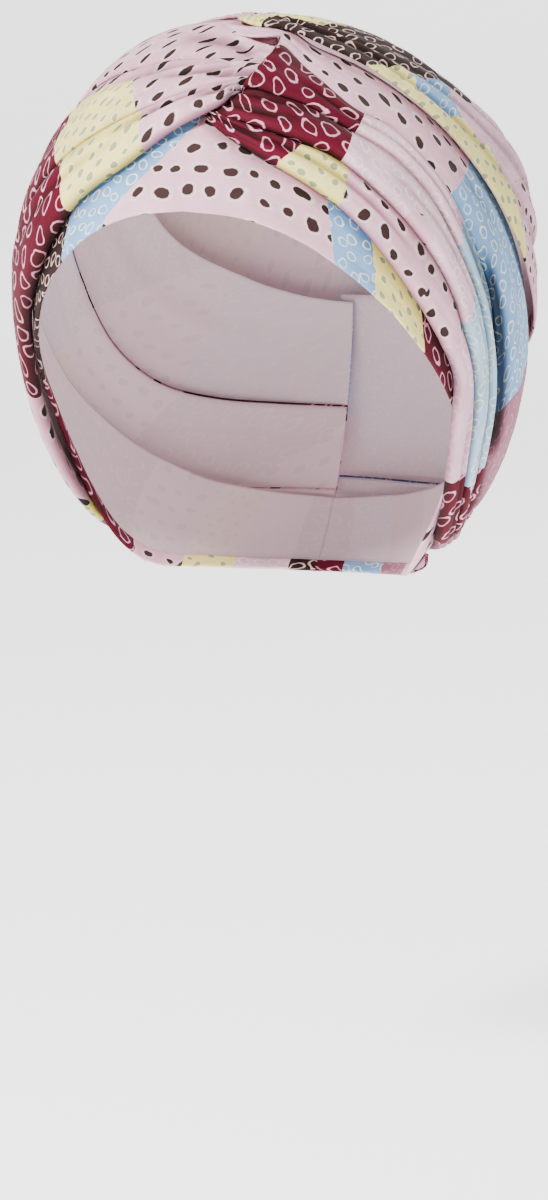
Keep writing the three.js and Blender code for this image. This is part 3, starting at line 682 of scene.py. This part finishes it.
# Patches of each piece: where their middles lie, the cloth, and the slant of its rows in degrees.
# A drape's middles are shares along it and places in folds across it.
ALONG_MM = 300.0
PLACE_MM = 30.0
RIGHT_PATCHES = [
    (0.05, 0.5, "burgundy", 30), (0.12, 0.5, "burgundy", 30), (0.195, 0.4, "yellow", 10),
    (0.265, 0.5, "pink dots", 5), (0.34, 0.5, "pink dots", 5), (0.43, 0.5, "pink dots", 8),
    (0.52, 0.5, "plain pink", 0), (0.63, 0.5, "plain pink", 0), (0.73, 0.6, "burgundy", 40),
    (0.04, 1.5, "burgundy", 30), (0.02, 2.5, "burgundy", 30), (0.06, 2.5, "burgundy", 30),
    (0.11, 1.6, "burgundy", 30), (0.17, 1.5, "burgundy", 30), (0.11, 2.5, "burgundy", 30),
    (0.175, 2.5, "burgundy", 30), (0.255, 1.5, "pale pink", 20), (0.26, 2.5, "pale pink", 20),
    (0.35, 2.5, "pale pink", 20), (0.39, 1.5, "pale pink", 20), (0.44, 1.35, "pale pink", 20),
    (0.49, 1.45, "pale blue", 12), (0.45, 2.5, "pale blue", 12), (0.56, 1.4, "pale blue", 12),
    (0.56, 2.4, "pale blue", 12), (0.62, 1.4, "pale blue", 12), (0.67, 1.5, "pale blue", 12),
    (0.75, 1.8, "burgundy", 40), (0.0, 3.5, "pink dots", 12), (0.04, 3.5, "pink dots", 12),
    (0.08, 3.5, "pink dots", 12), (0.12, 3.5, "pink dots", 12), (0.16, 3.5, "pink dots", 12),
    (0.21, 3.5, "pink dots", 12), (0.27, 3.5, "pink dots", 12), (0.33, 3.5, "pink dots", 12),
    (0.41, 3.5, "blue", 35), (0.455, 3.4, "blue", 35),
    (0.5, 3.5, "blue", 35), (0.58, 3.5, "blue", 35), (0.67, 3.4, "mauve", 25),
    (0.8, 3.3, "mauve", 25), (0.85, 2.2, "pink dots", 0), (0.87, 0.7, "mauve", 15),
    (0.97, 1.4, "yellow", 20), (0.96, 3.0, "blue", 30),
]
LEFT_PATCHES = [
    (0.05, 0.5, "pink dots", -8), (0.11, 0.6, "pink dots", -8), (0.16, 0.5, "pink dots", -8),
    (0.26, 0.5, "yellow", 20), (0.275, 1.2, "yellow", 20), (0.37, 0.5, "burgundy", 25),
    (0.41, 1.4, "burgundy", 25), (0.08, 1.6, "pink dots", -8), (0.17, 1.4, "pink dots", -8),
    (0.27, 2.1, "pink dots", -8), (0.16, 2.6, "pink dots", -8), (0.33, 2.6, "pink dots", -8),
    (0.44, 2.4, "burgundy", 25), (0.47, 0.6, "burgundy", 25), (0.52, 1.6, "burgundy", 25),
    (0.68, 0.5, "pink dots", 10), (0.55, 0.5, "burgundy", 25),
    (0.55, 2.6, "pale pink", 0), (0.63, 1.7, "blue", 15),
    (0.68, 2.6, "brown", 30), (0.74, 0.9, "yellow", 0), (0.78, 2.1, "pink dots", 20),
    (0.86, 0.6, "mauve", 10), (0.9, 1.6, "burgundy", 20), (0.9, 2.6, "blue", 40),
    (0.98, 0.9, "pink dots", 0),
]
# The band's middles are degrees of turn and shares across it
TURN_MM = 1.5
ACROSS_MM = 40.0
BAND_PATCHES = [
    (-46, 0.5, "brown", 30), (-62, 0.5, "brown", 30), (-30, 0.5, "blue", 25),
    (-19, 0.58, "blue", 25), (-10.7, 0.88, "blue", 25), (-8.7, 0.12, "pink dots", 0),
    (0, 0.42, "pink dots", 0), (16, 0.3, "pink dots", 0), (32.5, 0.3, "pink dots", 0),
    (41.5, 0.3, "blue", -35), (53, 0.3, "yellow", 20), (67, 0.4, "burgundy", 30),
    (83, 0.5, "pink dots", 10), (104, 0.5, "plain pink", 0), (128, 0.5, "mauve", 20),
    (152, 0.5, "blue", 15), (176, 0.5, "burgundy", 0), (-82, 0.5, "burgundy", 15),
    (-104, 0.5, "pink dots", 0), (-128, 0.5, "yellow", 30), (-153, 0.5, "pale pink", 0),
    (-177, 0.5, "brown", 0),
]
# The crown's middles are degrees of turn and a rise
CROWN_PATCHES = [
    (6, 0.958, "yellow", 10), (20, 0.985, "yellow", 10), (30, 0.955, "brown", 35),
    (50, 0.92, "brown", 35), (70, 0.86, "brown", 35), (90, 0.81, "brown", 35),
    (108, 0.78, "brown", 35), (85, 0.71, "blue", 20), (68, 0.745, "yellow", 30),
    (75, 0.66, "yellow", 30), (82, 0.55, "yellow", 30), (88, 0.42, "yellow", 30),
    (93, 0.28, "yellow", 30), (96, 0.62, "plain pink", 25), (101, 0.47, "plain pink", 40),
    (101, 0.3, "dense dots", 40), (103, 0.14, "dense dots", 40), (105, 0.0, "dense dots", 40),
    (118, 0.1, "pink dots", 70), (124, 0.66, "pale pink", 0), (126, 0.36, "burgundy", 0),
    (140, -0.1, "mauve", 0), (148, 0.2, "yellow", 40), (152, 0.55, "pink dots", 10),
    (172, 0.05, "blue", 15), (182, 0.42, "burgundy", 30), (200, 0.8, "pale pink", 0),
    (200, -0.12, "pink dots", 30), (212, 0.2, "yellow", 10), (220, 0.55, "brown", 20),
    (238, 0.1, "pink dots", 0), (245, 0.4, "blue", 10), (250, 0.75, "pink dots", 30),
    (300, 0.95, "pink dots", 15), (350, 0.985, "pink dots", 15), (140, 0.85, "brown", 35),
]
ROLL_PATCHES = [(0, 0, "plain pink", 0)]
GATHER_PATCHES = [
    (0, 0, "burgundy", 20), (40, 0, "mauve", 0), (90, 0, "pink dots", 0), (140, 0, "brown", 0),
    (190, 0, "plain pink", 0),
]


def add(tree, kind, values=(), **settings):
    """A node with its settings, and a value or a link for each of its numbered inputs."""
    made = tree.nodes.new(kind)
    for key, value in settings.items():
        setattr(made, key, value)
    for index, value in values:
        if isinstance(value, bpy.types.NodeSocket):
            tree.links.new(value, made.inputs[index])
        else:
            made.inputs[index].default_value = value
    return made


def maths(tree, operation, *values):
    """The result of one sum on numbers."""
    return add(tree, "ShaderNodeMath", list(enumerate(values)), operation=operation).outputs[0]


def vectors(tree, operation, *values):
    """A node for one sum on vectors, whose result may be a vector or a number."""
    return add(tree, "ShaderNodeVectorMath", list(enumerate(values)), operation=operation)


def times(tree, vector, factor):
    """A vector or a colour, with each part times one factor."""
    made = add(tree, "ShaderNodeVectorMath", [(0, vector), (3, factor)], operation="SCALE")
    return made.outputs[0]


def noise(tree, place, scale, detail=2.0, output="Fac"):
    """Soft noise at a place."""
    values = [("Vector", place), ("Scale", scale), ("Detail", detail)]
    return add(tree, "ShaderNodeTexNoise", values).outputs[output]


def mixed(tree, factor, a, b):
    """A colour between a and b."""
    made = add(tree, "ShaderNodeMix", [(0, factor), (6, a), (7, b)], data_type="RGBA")
    return made.outputs[2]


def mixed_vector(tree, factor, a, b):
    """A vector between a and b."""
    made = add(tree, "ShaderNodeMix", [(0, factor), (4, a), (5, b)], data_type="VECTOR")
    return made.outputs[1]


def soft_step(tree, value, low, high):
    """1 below low and 0 above high."""
    settings = [(0, value), (1, low), (2, high), (3, 1.0), (4, 0.0)]
    return add(tree, "ShaderNodeMapRange", settings, interpolation_type="SMOOTHSTEP").outputs[0]


def group(name, inputs, outputs):
    """An empty node group with its sockets, and its input and output nodes."""
    tree = bpy.data.node_groups.new(name, "ShaderNodeTree")
    for title, kind in inputs:
        tree.interface.new_socket(name=title, in_out="INPUT", socket_type="NodeSocket" + kind)
    for title, kind in outputs:
        tree.interface.new_socket(name=title, in_out="OUTPUT", socket_type="NodeSocket" + kind)
    return tree, tree.nodes.new("NodeGroupInput"), tree.nodes.new("NodeGroupOutput")


def patch_group():
    """Takes over the cloth of a patch where its middle is the nearest one so far."""
    carried = [("Nearest", "Float"), ("Ground", "Color"), ("Mark", "Color"), ("Style", "Vector")]
    asked = [
        ("Middle", "Vector"), ("Its ground", "Color"), ("Its mark", "Color"),
        ("Its style", "Vector"),
    ]
    tree, given, out = group("dyed patch", [("Place", "Vector"), *carried, *asked], carried)
    place, nearest, ground, mark, style, middle, own_ground, own_mark, own_style = given.outputs[:9]
    away = vectors(tree, "DISTANCE", place, middle).outputs["Value"]
    closer = maths(tree, "LESS_THAN", away, nearest)
    tree.links.new(maths(tree, "MINIMUM", away, nearest), out.inputs[0])
    tree.links.new(mixed(tree, closer, ground, own_ground), out.inputs[1])
    tree.links.new(mixed(tree, closer, mark, own_mark), out.inputs[2])
    tree.links.new(mixed_vector(tree, closer, style, own_style), out.inputs[3])
    return tree


# Tied marks, in shares of one mark's cell
LOOSENESS = 0.85
NUDGE = 0.24
OVAL = (0.88, 1.16, 0.0)
WOBBLE = 0.2
DOT_SIZE = 0.18
DOT_SPREAD = 0.05
RING_SIZE = 0.29
RING_THICK = 0.09
HALO_SHARE = 0.42
RING_DEEP = 0.25
RING_DARK = 0.72
CLOUD_SCALE = 0.06
CLOUD_RANGE = 0.7
CLOUD_LEAST = 0.66
UNDYED = dye(240, 230, 218)


def marks_group():
    """Tied dots and rings in loose rows. Style holds the share of rings, cell size and slant."""
    inputs = [("Place", "Vector"), ("Ground", "Color"), ("Mark", "Color"), ("Style", "Vector")]
    tree, given, out = group("tied marks", inputs, [("Color", "Color"), ("Marks", "Float")])
    place, ground, mark, style = given.outputs[:4]
    parts = add(tree, "ShaderNodeSeparateXYZ", [(0, style)])
    ring, cell, slant = parts.outputs
    turned = add(
        tree, "ShaderNodeVectorRotate", [(0, place), ("Angle", slant)], rotation_type="Z_AXIS"
    ).outputs[0]
    scale = maths(tree, "DIVIDE", 1.0, cell)
    in_cells = times(tree, turned, scale)
    drift = noise(tree, in_cells, 0.55, 1.0, "Color")
    drift = vectors(tree, "SUBTRACT", drift, (0.5, 0.5, 0.5)).outputs[0]
    loose = vectors(tree, "ADD", in_cells, times(tree, drift, LOOSENESS)).outputs[0]
    split = add(tree, "ShaderNodeSeparateXYZ", [(0, loose)])
    row = maths(tree, "FLOOR", split.outputs[1])
    shift = maths(tree, "MULTIPLY", maths(tree, "MODULO", row, 2.0), 0.5)
    across = maths(tree, "ADD", split.outputs[0], shift)
    in_rows = add(tree, "ShaderNodeCombineXYZ", [(0, across), (1, split.outputs[1])]).outputs[0]
    corner = vectors(tree, "FLOOR", in_rows).outputs[0]
    chance = add(
        tree, "ShaderNodeTexWhiteNoise", [(0, corner)], noise_dimensions="2D"
    ).outputs["Color"]
    centred = (-0.5 - NUDGE / 2, -0.5 - NUDGE / 2, 0.0)
    nudge = vectors(tree, "MULTIPLY_ADD", chance, (NUDGE, NUDGE, 0.0), centred).outputs[0]
    local = vectors(tree, "SUBTRACT", in_rows, corner).outputs[0]
    local = vectors(tree, "ADD", local, nudge).outputs[0]
    oval = vectors(tree, "MULTIPLY", local, OVAL).outputs[0]
    wobble = maths(tree, "MULTIPLY_ADD", noise(tree, in_cells, 2.6), WOBBLE, -WOBBLE / 2)
    away = maths(tree, "ADD", vectors(tree, "LENGTH", oval).outputs["Value"], wobble)
    size = add(tree, "ShaderNodeSeparateColor", [(0, chance)]).outputs[2]
    dot_edge = maths(tree, "MULTIPLY_ADD", size, DOT_SPREAD, DOT_SIZE)
    beyond = maths(tree, "SUBTRACT", away, dot_edge)
    dot = soft_step(tree, beyond, -0.02, 0.025)
    halo = soft_step(tree, beyond, 0.06, 0.15)
    ring_line = maths(tree, "ABSOLUTE", maths(tree, "SUBTRACT", away, RING_SIZE))
    thick = maths(tree, "MULTIPLY_ADD", noise(tree, in_cells, 1.4), -RING_THICK, RING_THICK / 2)
    circle = soft_step(tree, maths(tree, "ADD", ring_line, thick), 0.018, 0.06)
    full_ring = maths(tree, "GREATER_THAN", ring, 0.9)
    dots_share = maths(tree, "SUBTRACT", 1.0, ring)
    rings = maths(tree, "MULTIPLY", circle, ring)
    print_mask = maths(tree, "ADD", rings, maths(tree, "MULTIPLY", dot, dots_share))
    halo_mask = maths(tree, "MULTIPLY", halo, maths(tree, "MULTIPLY", dots_share, HALO_SHARE))
    inside = soft_step(tree, away, 0.1, 0.24)
    inside = maths(tree, "MULTIPLY", inside, maths(tree, "MULTIPLY", full_ring, RING_DEEP))
    cloud = noise(tree, place, CLOUD_SCALE, 3.0)
    cloud = maths(tree, "MULTIPLY_ADD", cloud, CLOUD_RANGE, CLOUD_LEAST)
    soft = times(tree, ground, cloud)
    soft = mixed(tree, inside, soft, times(tree, soft, RING_DARK))
    color = mixed(tree, halo_mask, soft, UNDYED)
    color = mixed(tree, print_mask, color, mark)
    tree.links.new(color, out.inputs[0])
    tree.links.new(print_mask, out.inputs[1])
    return tree


def knit_group():
    """Fine jersey loops, and the faint pull lines that run with the cloth."""
    tree, given, out = group("jersey knit", [("Place", "Vector")], [("Normal", "Vector")])
    place = given.outputs[0]
    parts = add(tree, "ShaderNodeSeparateXYZ", [(0, place)])
    wale = maths(tree, "SINE", maths(tree, "MULTIPLY", parts.outputs[0], 11.0))
    course = maths(tree, "SINE", maths(tree, "MULTIPLY", parts.outputs[1], 15.0))
    loops = maths(tree, "MULTIPLY", wale, course)
    stretched = vectors(tree, "MULTIPLY", place, (0.028, 0.2, 1.0)).outputs[0]
    pull = noise(tree, stretched, 1.0, 3.0)
    settings = [("Strength", 0.3), ("Distance", 0.00006), ("Height", loops)]
    fine = add(tree, "ShaderNodeBump", settings)
    settings = [("Strength", 0.55), ("Distance", 0.0016), ("Height", pull)]
    pulled = add(tree, "ShaderNodeBump", settings)
    tree.links.new(pulled.outputs[0], fine.inputs["Normal"])
    tree.links.new(fine.outputs[0], out.inputs[0])
    return tree


# Strength of the painted shade: how much richer and darker the shaded cloth is painted
SHADE_RICHER = 0.5
SHADE_DARKER = 0.62


def painted_shade_group():
    """Painted shade: cloth is painted darker and deeper in colour where it lies down in a fold, in
    creases and beside the edges over it.
    """
    inputs = [("Color", "Color"), ("Depth", "Vector")]
    tree, given, out = group("painted shade", inputs, [("Color", "Color")])
    color, depth_and_shade = given.outputs[:2]
    painted_shade = add(tree, "ShaderNodeSeparateXYZ", [(0, depth_and_shade)]).outputs[0]
    shade_gamma = maths(tree, "MULTIPLY_ADD", painted_shade, SHADE_RICHER, 1.0)
    shade_deepened = add(tree, "ShaderNodeGamma", [(0, color), (1, shade_gamma)]).outputs[0]
    shade_kept = maths(tree, "MULTIPLY_ADD", painted_shade, -SHADE_DARKER, 1.0)
    tree.links.new(times(tree, shade_deepened, shade_kept), out.inputs[0])
    return tree


# Before the first patch, the nearest one is far away and its cloth is white
NO_PATCH_YET = [1000.0, (1, 1, 1, 1), (1, 1, 1, 1), (0.0, 6.0, 0.0)]
WRONG_SIDE = dye(214, 194, 198)
WRONG_SIDE_COVER = 0.9
PATCH = patch_group()
MARKS = marks_group()
KNIT = knit_group()
PAINTED_SHADE_GROUP = painted_shade_group()


def jersey(name, patches, wrong_side):
    """The printed jersey of one piece, with patches of (x, y, cloth, slant)."""
    material = bpy.data.materials.new(name)
    material.use_nodes = True
    tree = material.node_tree
    surface = tree.nodes["Principled BSDF"]
    print_place = add(tree, "ShaderNodeUVMap", uv_map="print").outputs[0]
    patch_place = add(tree, "ShaderNodeUVMap", uv_map="patch").outputs[0]
    carried = NO_PATCH_YET
    for x, y, cloth_name, slant in patches:
        ground, mark, ring, cell = CLOTHS[cloth_name]
        style = (ring, cell, math.radians(slant))
        values = [patch_place, *carried, (x, y, 0.0), ground, mark, style]
        step = add(tree, "ShaderNodeGroup", node_tree=PATCH)
        for socket, value in zip(step.inputs, values):
            if isinstance(value, bpy.types.NodeSocket):
                tree.links.new(value, socket)
            else:
                socket.default_value = value
        carried = list(step.outputs)
    marks = add(tree, "ShaderNodeGroup", node_tree=MARKS)
    for socket, value in zip(marks.inputs, [print_place, *carried[1:]]):
        tree.links.new(value, socket)
    color = marks.outputs[0]
    if wrong_side:
        color = mixed(tree, WRONG_SIDE_COVER, color, WRONG_SIDE)
    else:
        # Painted shade is put into the cloth's colour
        depth_and_shade = add(tree, "ShaderNodeUVMap", uv_map="painted_shade").outputs[0]
        color = add(tree, "ShaderNodeGroup", [(0, color), (1, depth_and_shade)], node_tree=PAINTED_SHADE_GROUP).outputs[0]
        knit = add(tree, "ShaderNodeGroup", [(0, print_place)], node_tree=KNIT)
        tree.links.new(knit.outputs[0], surface.inputs["Normal"])
    tree.links.new(color, surface.inputs["Base Color"])
    surface.inputs["Roughness"].default_value = 0.72
    surface.inputs["Specular IOR Level"].default_value = 0.16
    surface.inputs["Sheen Weight"].default_value = 0.015
    surface.inputs["Sheen Roughness"].default_value = 0.45
    return material


def jerseys(name, patches):
    """The right side and the wrong side of one piece's jersey."""
    return [jersey(name, patches, False), jersey(name + " wrong side", patches, True)]


NOSE_REACH = 0.07


def shares(points, scale_along, scale_across, across=None):
    """Patch coordinates: shares along a piece, and places across it, each in its own scale."""
    columns, rows = points.shape[:2]
    along = np.repeat(np.linspace(0, 1, columns)[:, None], rows, axis=1) * scale_along
    if across is None:
        across = np.linspace(0, 1, rows)
    return np.stack([along, np.repeat((across * scale_across)[None, :], columns, axis=0)], axis=-1)


def own_folds(rows):
    """Place of each row across a drape, with the nose over a fold counted to its own fold."""
    return np.maximum(rows[:, 0], rows[:, 3] + NOSE_REACH)


def scaled(patches, scale_x, scale_y):
    """Patches with their middles turned into patch coordinates."""
    return [(x * scale_x, y * scale_y, kind, slant) for x, y, kind, slant in patches]


right, right_rows, right_painted_shade = drape_points(
    RIGHT, RIGHT_FOLDS, right_ride, RIGHT_CREASES, steps=210, per_fold=36, start=1.0, slit_shade=SLIT_SHADE_LINE
)
left, left_rows, left_painted_shade = drape_points(
    LEFT, LEFT_FOLDS, left_ride, LEFT_CREASES, steps=216, per_fold=40, start=2.0
)
crown, crown_turn, crown_tilt, crown_painted_shade = crown_points(steps=270, rows=100)
band, band_round, band_across = band_points(steps=300)

# Painted shadow: cloth is painted darker where the edge of the cloth over it lies
CROWN_RIM_ROW = 8
HEM_AT_CROSSING = 60
right_hem = right[:, np.argmin(right_rows[:, 0])]
left_hem = left[:, np.argmin(left_rows[:, 0])]
crown_rim = crown[:, CROWN_RIM_ROW]
shade_under_left = 0.9 * beside(right, left_hem[:HEM_AT_CROSSING], reach=3.0)
right_painted_shade = np.maximum(right_painted_shade, shade_under_left)
right_painted_shade = np.maximum(right_painted_shade, 0.9 * beside(right, crown_rim, reach=3.4))
left_painted_shade = np.maximum(left_painted_shade, 0.8 * beside(left, crown_rim, reach=3.0))
band_painted_shade = np.maximum(beside(band, right_hem, reach=3.1), beside(band, left_hem, reach=3.1))

cloth(
    "right_swath", "right_drape", right, grain(right),
    shares(right, ALONG_MM, PLACE_MM, own_folds(right_rows)),
    jerseys("right drape jersey", scaled(RIGHT_PATCHES, ALONG_MM, PLACE_MM)),
    painted_shades=right_painted_shade,
)

cloth(
    "left_swath", "left_drape", left, grain(left),
    shares(left, ALONG_MM, PLACE_MM, own_folds(left_rows)),
    jerseys("left drape jersey", scaled(LEFT_PATCHES, ALONG_MM, PLACE_MM)),
    turned=True, painted_shades=left_painted_shade,
)

crown_print = crown_grain(crown_turn, crown_tilt)
crown_patches = []
for turn, rise, kind, slant in CROWN_PATCHES:
    x, y = crown_grain(np.radians(turn), np.arcsin(rise))
    crown_patches.append((float(x), float(y), kind, slant))
cloth(
    "crown_cloth", "crown", crown, crown_print, crown_print,
    jerseys("crown jersey", crown_patches),
    painted_shades=crown_painted_shade,
)

band_turn = np.interp(np.abs(band_round), np.linspace(0, 1, len(BAND)), BAND[:, 0])
band_turn = np.repeat((np.sign(band_round) * band_turn * TURN_MM)[:, None], band.shape[1], axis=1)
band_up = np.repeat((band_across * ACROSS_MM)[None, :], band.shape[0], axis=0)
cloth(
    "face_band", "brim_band", band, grain(band), np.stack([band_turn, band_up], axis=-1),
    jerseys("brim band jersey", scaled(BAND_PATCHES, TURN_MM, ACROSS_MM)),
    painted_shades=band_painted_shade,
)

roll = roll_points(steps=70, sides=30)
cloth(
    "rolled_edge", "cross_roll", roll, grain(roll), shares(roll, scale_along=40, scale_across=10),
    jerseys("cross roll jersey", ROLL_PATCHES),
    turned=True,
)

gathered = gather_points(steps=420, rows=14)
cloth(
    "ruched_strip", "nape_gather", gathered, grain(gathered),
    shares(gathered, scale_along=200, scale_across=10),
    jerseys("nape gather jersey", GATHER_PATCHES),
)

# Pale paper that bends up behind, in metres
PAPER_HALF_SIZE = 6
PAPER_LOW = -0.3
BEND_FROM = 3.6
BEND_RADIUS = 0.8
paper_mesh = bpy.data.meshes.new("paper")
paper_edit = bmesh.new()
bmesh.ops.create_grid(paper_edit, x_segments=2, y_segments=120, size=PAPER_HALF_SIZE)
for vertex in paper_edit.verts:
    beyond = max(0.0, vertex.co.y - BEND_FROM)
    bend = min(beyond / BEND_RADIUS, math.pi / 2)
    rest = max(0.0, beyond - BEND_RADIUS * math.pi / 2)
    vertex.co.y += BEND_RADIUS * math.sin(bend) - beyond
    vertex.co.z = PAPER_LOW + BEND_RADIUS * (1 - math.cos(bend)) + rest
for face in paper_edit.faces:
    face.smooth = True
paper_edit.to_mesh(paper_mesh)
paper_edit.free()
floor = bpy.data.objects.new("paper", paper_mesh)
bpy.context.scene.collection.objects.link(floor)
paper = bpy.data.materials.new("white paper")
paper.use_nodes = True
surface = paper.node_tree.nodes["Principled BSDF"]
surface.inputs["Base Color"].default_value = (0.93, 0.93, 0.93, 1)
surface.inputs["Roughness"].default_value = 0.9
surface.inputs["Emission Color"].default_value = (1, 1, 1, 1)
surface.inputs["Emission Strength"].default_value = 1.7
paper_mesh.materials.append(paper)


def light(name, place, aim, size, power):
    """A round soft light."""
    lamp = bpy.data.lights.new(name, "AREA")
    lamp.shape = "DISK"
    lamp.size = size
    lamp.energy = power
    holder = bpy.data.objects.new(name, lamp)
    holder.location = place
    holder.rotation_euler = (Vector(aim) - Vector(place)).to_track_quat("-Z", "Y").to_euler()
    bpy.context.scene.collection.objects.link(holder)


light("key", place=(-0.7, -1.5, 1.5), aim=(0, 0, -0.02), size=0.5, power=120)
light("fill", place=(1.6, -1.0, 0.6), aim=(0, 0, -0.03), size=1.4, power=9)
light("back", place=(0.5, 1.6, 1.4), aim=(0, 0, 0), size=1.0, power=22)

world = bpy.data.worlds.new("studio")
world.use_nodes = True
world.node_tree.nodes["Background"].inputs["Color"].default_value = (1.0, 0.99, 0.98, 1)
world.node_tree.nodes["Background"].inputs["Strength"].default_value = 0.12
bpy.context.scene.world = world

# The camera stands at the photo's own angle, in metres from the middle of the frame
TURN = math.radians(18)
TILT = math.radians(4)
AWAY = 1.7
AIM_ASIDE = 0.0014
AIM_DOWN = 0.10625
back = Vector((math.sin(TURN) * math.cos(TILT), -math.cos(TURN) * math.cos(TILT), math.sin(TILT)))
aside = Vector((math.cos(TURN), math.sin(TURN), 0))
upward = aside.cross(-back)
lens = bpy.data.cameras.new("camera")
lens.lens = 146.9
lens.sensor_width = 36
camera = bpy.data.objects.new("camera", lens)
camera.location = back * AWAY
aim = aside * AIM_ASIDE - upward * AIM_DOWN
camera.rotation_euler = (aim - camera.location).to_track_quat("-Z", "Y").to_euler()
bpy.context.scene.collection.objects.link(camera)
bpy.context.scene.camera = camera
